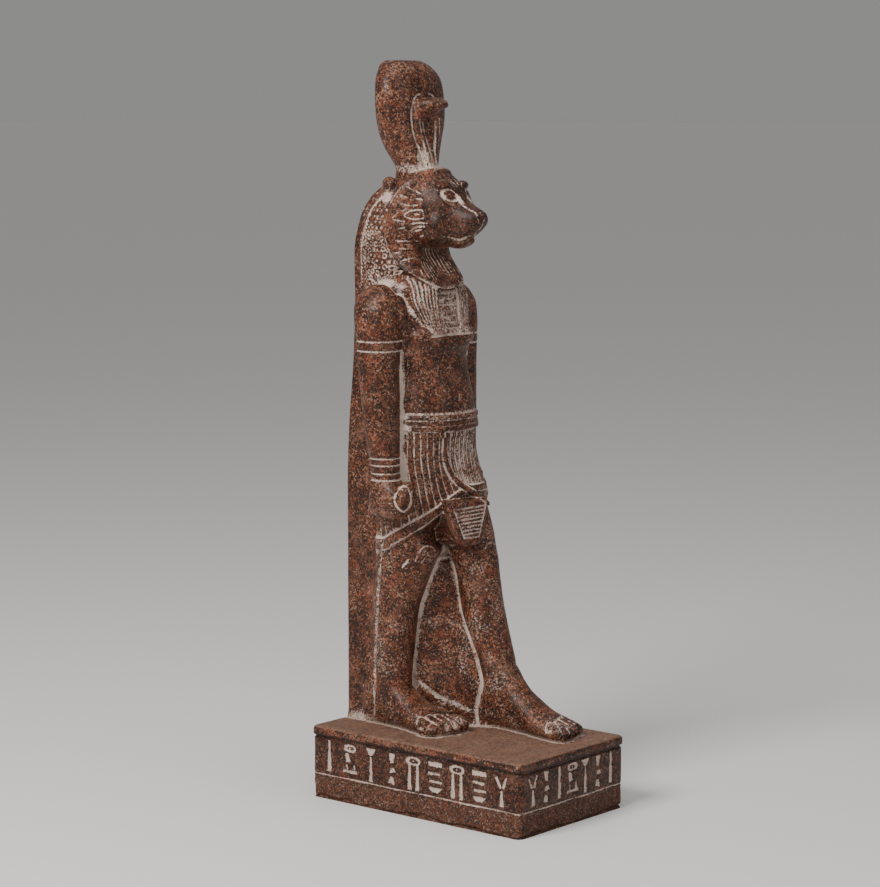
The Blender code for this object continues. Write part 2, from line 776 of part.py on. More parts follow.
def mane_strokes():
    cutters = []
    for first, start, last, end in MANE_STROKES:
        for sign in (1, -1):
            corners = [(first - STROKE_HALF, start), (first + STROKE_HALF, start)]
            corners += [(last + STROKE_HALF, end), (last - STROKE_HALF, end)]
            rings = []
            for proud in (-STROKE_DEPTH, 3):
                rings.append(np.array([mane_point(turn * sign % 1, share, proud) for turn, share in corners]))
            cutters.append(body("mane stroke", rings))
    return cutters


# The head's ovals along its length: Y, half width, lowest and highest point
SKULL = (
    (-13.5, 5.0, 391.5, 398.5),
    (-11.0, 7.6, 389.0, 401.0),
    (-7.0, 9.2, 385.6, 402.8),
    (0.0, 11.5, 381.0, 406.5),
    (5.0, 13.5, 379.0, 412.5),
    (9.0, 16.0, 377.5, 418.0),
    (15.0, 19.0, 376.0, 422.0),
    (25.0, 22.5, 375.0, 427.0),
    (38.0, 22.5, 378.0, 430.0),
    (48.0, 18.0, 385.0, 427.0),
)


def head():
    """Skull and muzzle, then brows, eyes, cheeks, lower jaw, nose and ears."""
    rings = []
    for y, half, low, high in eased(SKULL, (-13.5, -12, -9, -4, 2, 8, 14, 22, 34, 48)):
        outline = oval(18, half, (high - low) / 2, (high - low) / 2, 2.2)
        rings.append(np.column_stack([outline[:, 0], np.full(18, y), (low + high) / 2 - outline[:, 1]]))
    forms = [body("skull", rings)]
    forms.append(ball("jaw", (0, 6, 380.5), (8.5, 10.5, 5.0), 12, -6))
    forms.append(ball("nose", (0, -11.0, 396.5), (5.0, 4.0, 4.0), 10))
    for side in (-1, 1):
        forms.append(ball("cheek", (side * 11.5, 17, 391), (10.0, 12, 13), 12))
        forms.append(ball("brow", (side * 8.5, 13.0, 416.5), (6.5, 5.0, 4.2), 10))
        forms.append(ball("eye", (side * 9.6, 10.3, 411.0), (4.6, 3.6, 4.2), 10))
        forms.append(ball("lip", (side * 4.0, -3.0, 390.5), (4.8, 5.6, 4.8), 10))
        forms.append(ball("ear", (side * 21.0, 51.5, 416.5), (4.6, 3.6, 6.2), 10))
    return forms


# Sun disc and cobra

DISC = (
    (422, 0, 43.0, 16.0, 12.5, 12.5),
    (428, 0, 43.5, 15.5, 11.8, 12.0),
    (434, 0, 45.0, 17.5, 12.2, 13.0),
    (441, 0, 47.0, 21.5, 12.8, 13.8),
    (450, 0, 48.4, 25.8, 13.2, 14.6),
    (460, 0, 49.0, 28.8, 13.6, 14.4),
    (470, 0, 49.7, 29.9, 13.6, 13.9),
    (480, 0, 50.4, 29.6, 13.0, 13.3),
    (487, 0, 51.2, 28.2, 12.4, 12.8),
    (493, 0, 52.8, 24.6, 11.2, 11.6),
    (497, 0, 54.8, 20.6, 9.8, 10.2),
    (499.3, 0, 56.0, 17.0, 8.6, 9.2),
    (DISC_TOP, 0, 56.2, 14.0, 6.8, 7.4),
)
# The cobra's sections from its foot to its snout: height and Y of the back edge, half width, depth, and
# tilt in degrees
COBRA = (
    (425.0, 41.0, 5.0, 13.0, 0),
    (434.0, 41.0, 5.6, 13.4, 0),
    (444.0, 41.5, 8.8, 12.4, 0),
    (453.0, 41.5, 11.8, 11.6, 0),
    (461.0, 41.8, 12.6, 11.2, 2),
    (467.5, 41.5, 12.4, 11.2, 18),
    (473.0, 38.5, 11.6, 11.4, 50),
    (475.6, 33.0, 10.6, 10.8, 78),
    (475.4, 27.5, 9.4, 9.3, 95),
    (473.8, 22.5, 7.4, 7.2, 108),
    (471.5, 19.3, 4.6, 4.4, 118),
)


def disc():
    return column("disc", DISC, (422, 428, 434, 441, 450, 460, 472, 482, 490, 496, 499.3, DISC_TOP), 26, 2.5)


# How far the hood's face is hollowed out at each of those sections
HOOD_HOLLOW = (0, 1.2, 2.4, 3.4, 3.6, 1.6, 0, 0, 0, 0, 0)


def cobra():
    """The rearing cobra: a hollow-faced hood against the disc, bent forward at the top into a blunt head."""
    rings = []
    for (z, back, half, depth, tilt), hollow in zip(COBRA, HOOD_HOLLOW):
        a = math.radians(tilt)
        outline = oval(16, half, depth / 2, depth / 2, 2.6)
        across = np.clip(1 - (outline[:, 0] / (0.82 * half)) ** 2, 0, 1)
        outline[:, 1] += np.where(outline[:, 1] < 0, hollow * across, 0)
        ring = np.zeros((16, 3))
        ring[:, 0] = outline[:, 0]
        ring[:, 1] = back + (outline[:, 1] - depth / 2) * math.cos(a)
        ring[:, 2] = z + (outline[:, 1] - depth / 2) * math.sin(a)
        rings.append(ring)
    return body("cobra", rings)


# A lappet's outer edge on the chest: height, distance from the middle
LAPPET_EDGE = ((LAPPET_HEM, 18.5), (330, 23.5), (342, 27.5), (362, 25.0))


def lappet(side):
    """A fluted tress on the chest, from under the mane down to a straight hem."""
    rings = []
    for z in spaced(LAPPET_HEM, 358, 6):
        half = eased(TORSO, z)[0][3]
        outer = min(eased(LAPPET_EDGE, z)[0][1], 0.92 * half)
        steps = np.arcsin((spaced(COLLAR_HALF, outer, 2 * LAPPET_FLUTES + 1) / half) ** 1.1)
        top = [torso_point(side * a, z, LAPPET_PROUD - (0.8 if k % 2 else 0)) for k, a in enumerate(steps)]
        under = [torso_point(side * a, z, -4) for a in steps[::-3]]
        ring = np.array(top + under)
        rings.append(ring if side > 0 else ring[::-1])
    return body("lappet", rings)


def boolean(base, forms, name, operation):
    """A Boolean of base with a collection of closed forms."""
    group = bpy.data.collections.new(name)
    bpy.context.scene.collection.children.link(group)
    for form in forms:
        bpy.context.scene.collection.objects.unlink(form)
        group.objects.link(form)
        form.hide_render = True
        form.display_type = "WIRE"
    made = base.modifiers.new(name, "BOOLEAN")
    made.operation = operation
    made.solver = "EXACT"
    made.operand_type = "COLLECTION"
    made.collection = group


def fix_result(base):
    """Replaces base's mesh by the result of its modifiers, shaded smooth but for its sharp edges."""
    shown = base.evaluated_get(bpy.context.evaluated_depsgraph_get())
    mesh = bpy.data.meshes.new_from_object(shown)
    base.modifiers.clear()
    base.data = mesh
    mesh.name = base.name
    shape = bmesh.new()
    shape.from_mesh(mesh)
    bmesh.ops.delete(shape, geom=[edge for edge in shape.edges if not edge.link_faces], context="EDGES")
    shape.to_mesh(mesh)
    shape.free()
    mesh.shade_smooth()
    mesh.set_sharp_from_angle(angle=math.radians(SHARP_ANGLE))


def statue():
    """The whole stone: every form joined into one, cut with the marks, then thinned."""
    base = plinth()
    base.name = base.data.name = "statue"
    forms = [pillar(), kilt(), flap_border(), belt(), apron(), leg_web(), calf_web()]
    forms += [wig(), mane(), disc(), cobra()]
    forms += torso()
    forms += [leg("right leg", RIGHT_LEG), leg("left leg", LEFT_LEG)]
    forms += foot(-1, -18.5, -7.0) + foot(1, 23.5, -77.0) + head()
    for side in (-1, 1):
        forms += arm(side)
        forms += [held_cylinder(side), arm_web(side), lappet(side)]
    cutters = marks() + mane_strokes()
    boolean(base, forms, "join", "UNION")
    boolean(base, cutters, "cut", "DIFFERENCE")
    base.modifiers.new("tidied", "WELD").merge_threshold = TIDIED * MM
    thinned = base.modifiers.new("thinned", "DECIMATE")
    thinned.ratio = KEPT_FACES
    fix_result(base)
    for form in forms + cutters:
        bpy.data.objects.remove(form)
    base.data.materials.clear()
    base.data.materials.append(granite())
    return base


clear_scene()
statue()
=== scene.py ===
"""A carved granite statue of a striding lioness-headed goddess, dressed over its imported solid.

The forms repeat those of the solid at a finer grain. They are fused by a voxel remesh, then every vertex is
moved to cut the carving, and a chalky fill is painted into the cuts and creases. Lengths are in millimetres
up to the mesh.
"""

import math

import bpy
import numpy as np
from mathutils import Matrix, Vector
from mathutils.bvhtree import BVHTree
from mathutils.kdtree import KDTree


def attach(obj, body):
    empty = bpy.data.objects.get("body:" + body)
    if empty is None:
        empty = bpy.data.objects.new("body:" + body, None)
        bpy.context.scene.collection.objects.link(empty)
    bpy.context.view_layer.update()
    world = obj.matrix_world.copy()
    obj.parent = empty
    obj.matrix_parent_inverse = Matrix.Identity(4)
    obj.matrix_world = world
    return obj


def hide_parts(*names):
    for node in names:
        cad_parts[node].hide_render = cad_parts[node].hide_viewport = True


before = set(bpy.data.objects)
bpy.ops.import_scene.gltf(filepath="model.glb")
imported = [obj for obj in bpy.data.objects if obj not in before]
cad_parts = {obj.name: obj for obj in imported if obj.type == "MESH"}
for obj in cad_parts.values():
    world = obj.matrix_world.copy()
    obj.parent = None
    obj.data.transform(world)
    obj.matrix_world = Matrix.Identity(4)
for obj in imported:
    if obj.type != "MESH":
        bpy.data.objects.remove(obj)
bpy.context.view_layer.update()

MM = 0.001

VOXEL = 0.5
MOST_TRIANGLES = 194000

PLINTH_WIDTH = 114
PLINTH_LENGTH = 183
PLINTH_TOP = 49.8
LIP_HEIGHT = 6.5
LIP_OVERHANG = 0.8
PLINTH_CORNER = 5
INCISED_LINE = 16.8
MARK_DEPTH = 0.9

PILLAR_HALF = 22
PILLAR_FRONT = 62
PILLAR_BACK = 88.5
PILLAR_BEVEL = 0.8
PILLAR_TOP = 418

BELT_BOTTOM = 254.1
HEM_LOWEST = 171
KILT_LENGTH = 45
HEM_BAND = 4.6
# The share of the way from the belt to the hem at which the hem's plain band begins
HEM_SHARE = 1 - HEM_BAND / KILT_LENGTH
KILT_PLEATS = 44

LAPPET_HEM = 318
LAPPET_FLUTES = 7
LAPPET_PROUD = 1.6
COLLAR_HALF = 10

ARM_X = 43
FIST_TOP = 222
FIST_BOTTOM = 197.6
DISC_TOP = 500

# The camera, solved from the plinth's corners, in degrees and metres; its lens is in millimetres
CAMERA_AZIMUTH = 49.977
CAMERA_PITCH = 7.021
CAMERA_DISTANCE = 1.8275
CAMERA_HEIGHT = 0.4704
CAMERA_STEP = 0.0181
CAMERA_LENS = 111.6
SENSOR_WIDTH = 36
FLOOR_HALF = 60
LIT_MIDDLE = Vector((0, 0, 0.26))


# Form makers


def eased(keys, positions):
    """The table keys read at positions of its first column, by a cubic that never overshoots."""
    keys = np.array(keys, float)
    t = keys[:, 0]
    step = np.diff(t)[:, None]
    slope = np.diff(keys, axis=0) / step
    tangent = np.zeros_like(keys)
    tangent[0], tangent[-1] = slope[0], slope[-1]
    same = slope[:-1] * slope[1:] > 0
    total = np.where(same, slope[:-1] + slope[1:], 1)
    tangent[1:-1] = np.where(same, 2 * slope[:-1] * slope[1:] / total, 0)
    p = np.clip(np.atleast_1d(positions), t[0], t[-1])
    i = np.clip(np.searchsorted(t, p) - 1, 0, len(t) - 2)
    u = ((p - t[i]) / step[i, 0])[:, None]
    ease = 3 * u**2 - 2 * u**3
    bend = (u**3 - 2 * u**2 + u) * tangent[i] + (u**3 - u**2) * tangent[i + 1]
    return keys[i] * (1 - ease) + keys[i + 1] * ease + bend * step[i]


def oval(count, half_x, front, back, power=2, start=0):
    """A closed outline round the origin that reaches front towards -Y and back towards +Y."""
    angles = start + np.arange(count) * 2 * math.pi / count
    c, s = np.cos(angles), np.sin(angles)
    x = half_x * np.sign(c) * np.abs(c) ** (2 / power)
    y = np.where(s > 0, back, front) * np.sign(s) * np.abs(s) ** (2 / power)
    return np.stack([x, y], 1)


def flat_ring(outline, z, centre=(0, 0)):
    outline = np.array(outline) + np.array(centre)
    return np.column_stack([outline, np.full(len(outline), z)])


def upright_ring(outline, x, y, z):
    """An outline stood up across Y, its second axis pointing down."""
    return np.column_stack([x + outline[:, 0], np.full(len(outline), y), z - outline[:, 1]])


def loft(rings):
    """A closed form through rings of as many points each, as points and faces."""
    count = len(rings[0])
    points = np.concatenate(rings)
    faces = [list(range(count)), list(range(len(points) - count, len(points)))]
    for r in range(len(rings) - 1):
        for i in range(count):
            j = (i + 1) % count
            a, b = r * count, (r + 1) * count
            faces.append((a + i, a + j, b + j, b + i))
    return points, faces


def column(keys, count=64, power=2, step=2):
    """A form stacked from ovals: height, centre x and y, half width, reach to the front and to the back."""
    count_up = max(8, int((keys[-1][0] - keys[0][0]) / step))
    rings = []
    for z, x, y, half, front, back in eased(keys, np.linspace(keys[0][0], keys[-1][0], count_up)):
        rings.append(flat_ring(oval(count, half, front, back, power), z, (x, y)))
    return loft(rings)


def ball(centre, radii, tilt=0, turn=0, count=40):
    """An ellipsoid, tilted about X and then turned about Z, in degrees."""
    rings = []
    for polar in np.linspace(0.06, math.pi - 0.06, count // 2):
        rings.append(flat_ring(oval(count, *[math.sin(polar)] * 3), -math.cos(polar)))
    spin = Matrix.Rotation(math.radians(turn), 3, "Z") @ Matrix.Rotation(math.radians(tilt), 3, "X")
    return loft([(ring * np.array(radii)) @ np.array(spin).T + np.array(centre) for ring in rings])


def mirrored(path, side):
    """A path drawn on the figure's left, put on that side, 1, or on the right, -1."""
    path = np.array(path, float)
    path[:, 0] *= side
    return path


# Plinth


def rounded_rectangle(inset, corner, per_corner=10):
    points = []
    half_x, half_y = PLINTH_WIDTH / 2 - inset - corner, PLINTH_LENGTH / 2 - inset - corner
    for quarter, (sx, sy) in enumerate(((1, 1), (-1, 1), (-1, -1), (1, -1))):
        for a in np.radians(90 * quarter + np.linspace(0, 90, per_corner)):
            points.append((sx * half_x + corner * math.cos(a), sy * half_y + corner * math.sin(a)))
    return np.array(points)


def plinth_forms():
    lip = PLINTH_TOP - LIP_HEIGHT
    profile = (
        (0, LIP_OVERHANG),
        (lip - 0.3, LIP_OVERHANG),
        (lip, LIP_OVERHANG + 0.5),
        (lip + 0.5, 0.1),
        (PLINTH_TOP - 2.6, 0),
        (PLINTH_TOP - 1.2, 0.45),
        (PLINTH_TOP - 0.35, 1.4),
        (PLINTH_TOP, 3),
    )
    return [loft([flat_ring(rounded_rectangle(inset, PLINTH_CORNER - inset), z) for z, inset in profile])]


# Back pillar

PILLAR = (
    (PLINTH_TOP - 3, PILLAR_HALF + 1.5, PILLAR_BACK + 1.5),
    (PLINTH_TOP + 5, PILLAR_HALF, PILLAR_BACK),
    (215, PILLAR_HALF, PILLAR_BACK),
    (250, 21, 88),
    (300, 18.8, 85.6),
    (340, 17.6, 85),
    (372, 17.6, 85.5),
    (396, 15, 81.5),
    (410, 13, 73),
    (PILLAR_TOP, 11, 62.5),
)


def pillar():
    rings = []
    for z, half, back in eased(PILLAR, np.linspace(PLINTH_TOP - 3, PILLAR_TOP, 90)):
        front, bevel = min(PILLAR_FRONT, back - 12), back - PILLAR_BEVEL
        side = ((half, front), (half, bevel), (half - PILLAR_BEVEL, back))
        rings.append(flat_ring([*side, *mirrored(side, -1)[::-1]], z))
    return loft(rings)


# Torso and arms

TORSO = (
    (250, 0, 34, 33, 30, 30),
    (266, 0, 34, 32.5, 29.5, 30),
    (277, 0, 34, 31, 28, 30),
    (290, 0, 34, 29.5, 24.5, 32),
    (301, 0, 34, 30, 20.6, 34),
    (306, 0, 34, 31.5, 21, 34),
    (311, 0, 34, 33, 23, 34),
    (319, 0, 35, 35, 21.5, 34),
    (331, 0, 38, 37, 22.3, 32),
    (342, 0, 41, 36, 24.3, 30),
    (350, 0, 43, 32.5, 25.5, 29),
    (357, 0, 45, 27, 24, 26),
    (361, 0, 46, 22, 19, 24),
)
TORSO_POWER = 2.2


def torso_forms():
    """The trunk, with the breast's two halves and the flesh that runs from it to the shoulders."""
    forms = [column(TORSO, 80, TORSO_POWER)]
    for side in (-1, 1):
        forms.append(ball((side * 15, 24, 317), (16, 12.5, 9.5)))
        forms.append(ball((side * 34, 32.5 if side < 0 else 35, 331), (9, 8, 15)))
    return forms


def torso_point(angle, z, proud=0):
    """The torso's surface at an angle about its axis, 0 at the front and positive to the figure's left."""
    _, x, y, half, front, _ = eased(TORSO, z)[0]
    s, c = math.sin(angle), math.cos(angle)
    reach = 2 / TORSO_POWER
    return (
        x + (half + proud) * math.copysign(abs(s) ** reach, s),
        y - (front + proud) * abs(c) ** reach,
        z,
    )


ARM = (
    (FIST_TOP - 2, 0, -6, 9.3, 9.3, 9.3),
    (235, 0, -5.2, 9.8, 10.3, 10.3),
    (255, 0, -3.5, 11.8, 12, 12),
    (276, 0, -2, 13, 13.2, 13.2),
    (300, 0, -0.6, 14.3, 14.3, 14.3),
    (322, 0, 0, 15.2, 15.5, 16),
    (335, -0.6, 1, 15, 16, 16.5),
    (344, -2, 2, 12.5, 13.5, 14),
    (350, -3.5, 2.5, 7, 8, 8),
    (352, -4, 2.5, 2.5, 3, 3),
)
ARMLETS = (315, 308.6)
BRACELETS = (237, 232.4, 227, 222.8)
FIST = (
    (FIST_BOTTOM, 0, -10, 6, 10, 10),
    (200, 0, -10.5, 9, 14, 14),
    (208, 0, -11.5, 10.6, 16.5, 16),
    (216, 0, -9.5, 10.4, 14, 13),
    (FIST_TOP, 0, -6.5, 9.4, 10, 9.5),
    (FIST_TOP + 2, 0, -6, 8.5, 9, 9),
)


def arm_y(side):
    return 41 if side < 0 else 46


def fist_y(side):
    """Where a fist stands; the left one is a little further back, behind the flap."""
    return 41 if side < 0 else 49.5


def arm_forms(side):
    """The arm, its fist, the end of the rod that the fist holds and the stone left against the body."""
    y = arm_y(side)
    forms = []
    for keys, offset, power, base in ((ARM, 0, 2, y), (FIST, 0.5, 2.6, fist_y(side))):
        placed = [(z, side * (ARM_X + offset + dx), base + dy, *rest) for z, dx, dy, *rest in keys]
        forms.append(column(placed, 56, power, 1.5))
    rings = []
    for reach, radius in ((8, 6.6), (-1, 6.6), (-1.5, 6.2), (-1.8, 5.4)):
        outline = oval(40, radius, radius * 1.15, radius * 1.15)
        rod_x = side * (ARM_X + 1 - 2.5 * side)
        rings.append(upright_ring(outline * (1, -1), rod_x, fist_y(side) - 26.5 + reach, 209.5))
    forms.append(loft(rings))
    thumb = side * (ARM_X - 1), fist_y(side) - 22.5, 218
    forms.append(ball(thumb, (4.6, 7, 4), -24, -18 * side))
    web_front = 27.5 if side < 0 else 31
    corners = mirrored(((22, web_front), (38, web_front), (38, 52), (22, 58)), side)
    forms.append(loft([flat_ring(corners, z) for z in (208, 338)]))
    return forms


# Kilt, belt and the stiff tab under the crossing flaps

RIGHT_THIGH = (
    (HEM_LOWEST, -18, 40, 17, 17, 20),
    (190, -18, 38.5, 17.8, 18, 22),
    (212, -15, 36, 19, 18.5, 24),
    (235, -8, 33, 25, 21.5, 26),
    (BELT_BOTTOM + 1, 0, 30.5, 33.8, 26, 30),
)
LEFT_THIGH = (
    (HEM_LOWEST, 21, 14, 16, 18, 30),
    (190, 20.5, 16.5, 16.5, 17.5, 32),
    (212, 17.5, 21, 18, 18.5, 32),
    (235, 9, 26.5, 23.5, 20.5, 32),
    (BELT_BOTTOM + 1, 0, 30.5, 33.8, 26, 30),
)
# The hem's lower edge, from the front to the back: Y and height
HEM = ((5, 211.5), (10.3, 204.3), (14.7, 196.8), (21.9, 187.7), (33.5, 178.6), (45, 172), (60, HEM_LOWEST))
# How far each pleat drifts round the body from the belt to the hem, where 0 and 1 are the figure's left
# and 0.75 is its front
PLEAT_DRIFT = (
    (0, 0), (0.3, 0), (0.45, 0.07), (0.55, 0.088), (0.7, 0.08), (0.79, 0.034), (0.88, 0.01), (1, 0),
)


def stretched(z, starts):
    """The outline of a cloth drawn tight round both thighs at height z, at shares of the way round."""
    lobes = [eased(keys, z)[0] for keys in (RIGHT_THIGH, LEFT_THIGH)]
    angles = np.arange(720) * 2 * math.pi / 720
    c, s = np.cos(angles), np.sin(angles)
    best, reach = None, None
    for _, x, y, half, front, back in lobes:
        depth = np.where(s > 0, back, front)
        size = np.sqrt((half * c) ** 2 + (depth * s) ** 2)
        support = x * c + y * s + size
        points = np.stack([x + half**2 * c / size, y + depth**2 * s / size], 1)
        if best is None:
            best, reach = points, support
        else:
            best = np.where((support > reach)[:, None], points, best)
    loop = np.concatenate([best, best[:1]])
    lengths = np.concatenate([[0], np.cumsum(np.linalg.norm(np.diff(loop, axis=0), axis=1))])
    wanted = starts % 1 * lengths[-1]
    return np.stack([np.interp(wanted, lengths, loop[:, k]) for k in (0, 1)], 1)


PLEAT_POINTS = 12
KILT_COUNT = KILT_PLEATS * PLEAT_POINTS
KILT_LEVELS = np.linspace(HEM_LOWEST, BELT_BOTTOM + 1, 22)


def outward(outline):
    """Unit vectors that point out of a closed anticlockwise outline."""
    along = np.roll(outline, -1, axis=0) - np.roll(outline, 1, axis=0)
    out = np.stack([along[:, 1], -along[:, 0]], 1)
    return out / np.linalg.norm(out, axis=1)[:, None]


def kilt_ring(share, proud=0):
    """The kilt's skin at a share of the way from the belt, 0, to the hem, 1."""
    top = BELT_BOTTOM + 1
    ring = np.zeros((KILT_COUNT, 2))
    index = np.arange(KILT_COUNT)
    turns = index / KILT_COUNT
    starts = turns + share * eased(PLEAT_DRIFT, turns)[:, 1]
    stack = np.array([stretched(z, starts) for z in KILT_LEVELS])
    for _ in range(10):
        heights = top - share * (top - eased(HEM, ring[:, 1])[:, 1])
        where = np.interp(heights, KILT_LEVELS, np.arange(len(KILT_LEVELS)))
        below = np.clip(where.astype(int), 0, len(KILT_LEVELS) - 2)
        part = (where - below)[:, None]
        ring = stack[below, index] * (1 - part) + stack[below + 1, index] * part
    return np.column_stack([ring + outward(ring) * proud, heights])


def kilt():
    rings = [kilt_ring(share) for share in np.linspace(0, HEM_SHARE - 0.012, 30)]
    rings += [kilt_ring(share, 0.8) for share in (HEM_SHARE, 0.95, 0.99)]
    rings.append(kilt_ring(1, 0.3))
    edge = rings[-1][:, :2]
    middle = np.array((0, 28))
    for size in (0.85, 0.6, 0.25, 0.03):
        ring = middle + (edge - middle) * size
        rings.append(np.column_stack([ring, eased(HEM, ring[:, 1])[:, 1]]))
    return loft(rings[::-1])


def kilt_front(x, z):
    """The kilt's skin as Y, straight ahead of a point."""
    skin = stretched(z, np.arange(720) / 720)
    skin = skin[skin[:, 1] < RIGHT_THIGH[0][2]]
    skin = skin[np.argsort(skin[:, 0])]
    return np.interp(x, skin[:, 0], skin[:, 1])


# The edge of the left flap, which laps over the right one: X and height
FLAP_EDGE = (
    (-13, 254), (-12.2, 246), (-10.6, 238), (-7.2, 229), (-1.5, 220.5), (6, 213.8), (16, 207.5),
    (26, 201.5),
)
FLAP_PROUD = 1
# The border's section: across, and how far it stands out
BORDER = ((-1.5, 0.2), (-1.1, FLAP_PROUD), (1.1, FLAP_PROUD), (1.5, 0.2), (1.5, -4), (-1.5, -4))


def flap_border():
    keys = [(k, *spot) for k, spot in enumerate(FLAP_EDGE)]
    path = eased(keys, np.linspace(0, len(keys) - 1, 60))[:, 1:]
    rings = []
    for (x, z), (dx, dz) in zip(path, np.gradient(path, axis=0)):
        across = np.array((dz, -dx)) / math.hypot(dx, dz)
        ring = []
        for side, proud in BORDER:
            px, pz = x + side * across[0], z + side * across[1]
            ring.append((px, kilt_front(px, pz) - proud, pz))
        rings.append(np.array(ring))
    return loft(rings)


# The belt's section, two cords with a fine twin line between them: height over its foot, and reach
BELT = (
    (-1.5, -1), (0, 0.7), (0.8, 1.3), (3.8, 1.5), (4.8, 1.1), (5.6, 0.9), (6.6, 0.9), (7.4, 1.2),
    (9, 1.4), (10.8, 1.2), (11.5, 0.6), (12.6, -1),
)


def belt():
    rings = []
    for rise, proud in BELT:
        z = BELT_BOTTOM + rise
        _, x, y, half, front, back = eased(TORSO, z)[0]
        outline = oval(90, half + 0.8 + proud, front + 0.4 + proud, back, TORSO_POWER)
        rings.append(flat_ring(outline, z, (x, y)))
    return loft(rings)


# The tab's front from its foot up: height, middle, half width, Y
APRON = (
    (176.5, 0, 8, -5.6),
    (180.5, 0, 12, -5),
    (190, 0.2, 16, -3.6),
    (200, 0.4, 19.5, -2.2),
    (207, 0.5, 21, -1),
)


def apron():
    """The stiff trapezoid tab under the crossing hems."""
    levels = [(APRON[0][0], 1.5), (APRON[0][0] + 0.7, 0.6), (APRON[0][0] + 2, 0)]
    levels += [(z, 0) for z in np.linspace(181, APRON[-1][0], 12)]
    rings = []
    for z, rim in levels:
        _, middle, half, front = eased(APRON, z)[0]
        half, front = half - 0.6 * rim, front + rim
        right = ((half, front + 1.5), (half - 2, front + 8), (max(half - 8, 4), front + 10.5), (4, 33))
        left = [(-x, y) for x, y in right[::-1]]
        face = ((0.6 - half, front + 0.4), (2 - half, front), (half - 2, front), (half - 0.6, front + 0.4))
        rings.append(flat_ring([*right, *left, *face], z, (middle, 0)))
    return loft(rings)


# Legs and feet

RIGHT_LEG = (
    (PLINTH_TOP + 8, -18, 49.5, 11, 12, 15),
    (80, -18, 49.5, 11.5, 13, 15),
    (95, -18, 49, 12.2, 13.5, 16),
    (112, -18, 48, 13.8, 14.5, 17),
    (130, -18.3, 45.3, 14.2, 14.3, 20),
    (145, -17.3, 42.5, 15.6, 16.3, 22),
    (157, -15.8, 40.5, 17.6, 18, 22),
    (164, -14, 39.6, 19.4, 19, 18),
    (172, -12.2, 38.6, 21, 20.4, 17),
    (180, -14.2, 38.8, 18.8, 17.6, 16),
    (215, -15, 36, 15.5, 15, 18),
)
LEFT_LEG = (
    (PLINTH_TOP + 8, 23, -12, 11, 10, 13),
    (80, 23, -11, 11.6, 12, 13),
    (95, 22.5, -8.5, 12.2, 12.8, 13),
    (108, 22, -4, 13.2, 13.6, 14),
    (128, 22, 2.5, 14.2, 14.4, 16.6),
    (148, 22, 6.5, 14, 14.4, 18),
    (163, 21.6, 9.6, 15, 15.6, 18.8),
    (172, 20.6, 12.4, 16.2, 16.6, 21),
    (180, 21, 13.6, 15.4, 16.4, 20.6),
    (215, 17, 21, 15, 15, 20),
)
FOOT = (
    (7, 14.5, 9.5), (17, 16, 12.5), (28, 14.8, 16.5), (38, 13, 23.5), (46, 12, 30), (52, 11.6, 37.5),
    (58, 11.2, 46), (72, 10.5, 44), (78, 8, 30),
)


def toes(side, centre, tip):
    """Each toe as its middle, half width, height and length, from the big toe on the figure's inner side."""
    for k in range(5):
        half, high, length = (4.6, 11, 17.5) if k == 0 else (3.4, 9.8 - 0.4 * k, 15.5)
        x = centre - side * (11.6 - 6 * k - (1.6 if k else 0))
        y = tip + length / 2 + 0.2 * k + 0.45 * k * k
        yield x, y, half, high, length


def foot(side, centre, tip):
    rings = []
    for reach, half, high in eased(FOOT, np.linspace(7, 78, 48)):
        outline = oval(56, half, high / 2 + 1, high / 2 + 1, 2.2)
        rings.append(upright_ring(outline, centre, tip + reach, PLINTH_TOP - 1 + high / 2))
    forms = [loft(rings)]
    for x, y, half, high, length in toes(side, centre, tip):
        forms.append(ball((x, y, PLINTH_TOP + high * 0.45), (half, length / 2, high * 0.55)))
    if side > 0:
        forms.append(ball((centre, tip + 74.5, PLINTH_TOP + 11.5), (10.8, 11, 11.5)))
    return forms


# Each foot: its side, its middle and how far forward it reaches
FEET = ((-1, -18.5, -7), (1, 23.5, -77))
# Where the stone left behind the right calf ends, beside the pillar: height, X and Y
CALF_SEAM = (
    (PLINTH_TOP - 2, -24.5, 62),
    (76, -26.5, 60.5),
    (104, -28.3, 58.5),
    (137, -30.4, 55),
    (158, -32.4, 50.5),
    (176, -33.6, 47.5),
)


def calf_web():
    """The stone left between the right calf and the pillar."""
    rings = []
    for z, x, y in eased(CALF_SEAM, np.linspace(CALF_SEAM[0][0], CALF_SEAM[-1][0], 30)):
        corners = ((x + 1.5, y - 1), (x + 1, y + 1.5), (-21.5, 66), (-8, 66), (-8, y - 4), (x + 5, y - 4))
        rings.append(flat_ring(corners[::-1], z))
    return loft(rings)


# Where the stone between the legs meets each: height, X and Y at the right leg, X and Y at the left leg
LEG_WEB = (
    (PLINTH_TOP - 2, -8, 40, 12.5, 0),
    (63, -8, 40, 12.9, 1.9),
    (79, -9.8, 39, 13.3, -2.1),
    (89, -10, 38.6, 13.6, -0.3),
    (104, -9.2, 37.8, 12.9, 4.5),
    (121, -8.5, 36, 12.1, 12.3),
    (136, -7.8, 32.4, 11.8, 15.8),
    (152, -5.2, 27.5, 10.5, 18.1),
    (160, -1.5, 26, 9.4, 20.4),
    (168, 2.5, 25.5, 8, 25.5),
    (200, 2, 25.5, 8, 25.5),
)


def leg_web():
    """The stone left between the legs, sunk a step behind both, back to the pillar."""
    rings = []
    for z, *ends in eased(LEG_WEB, np.linspace(LEG_WEB[0][0], LEG_WEB[-1][0], 60)):
        rear, front = np.array(ends[:2]), np.array(ends[2:])
        along = (front - rear) / np.linalg.norm(front - rear)
        rear, front = rear - 8 * along, front + 9 * along
        corners = (rear, front, (24, front[1] - 2), (23, 67), (-12, 67))
        rings.append(flat_ring(corners, z))
    return loft(rings)


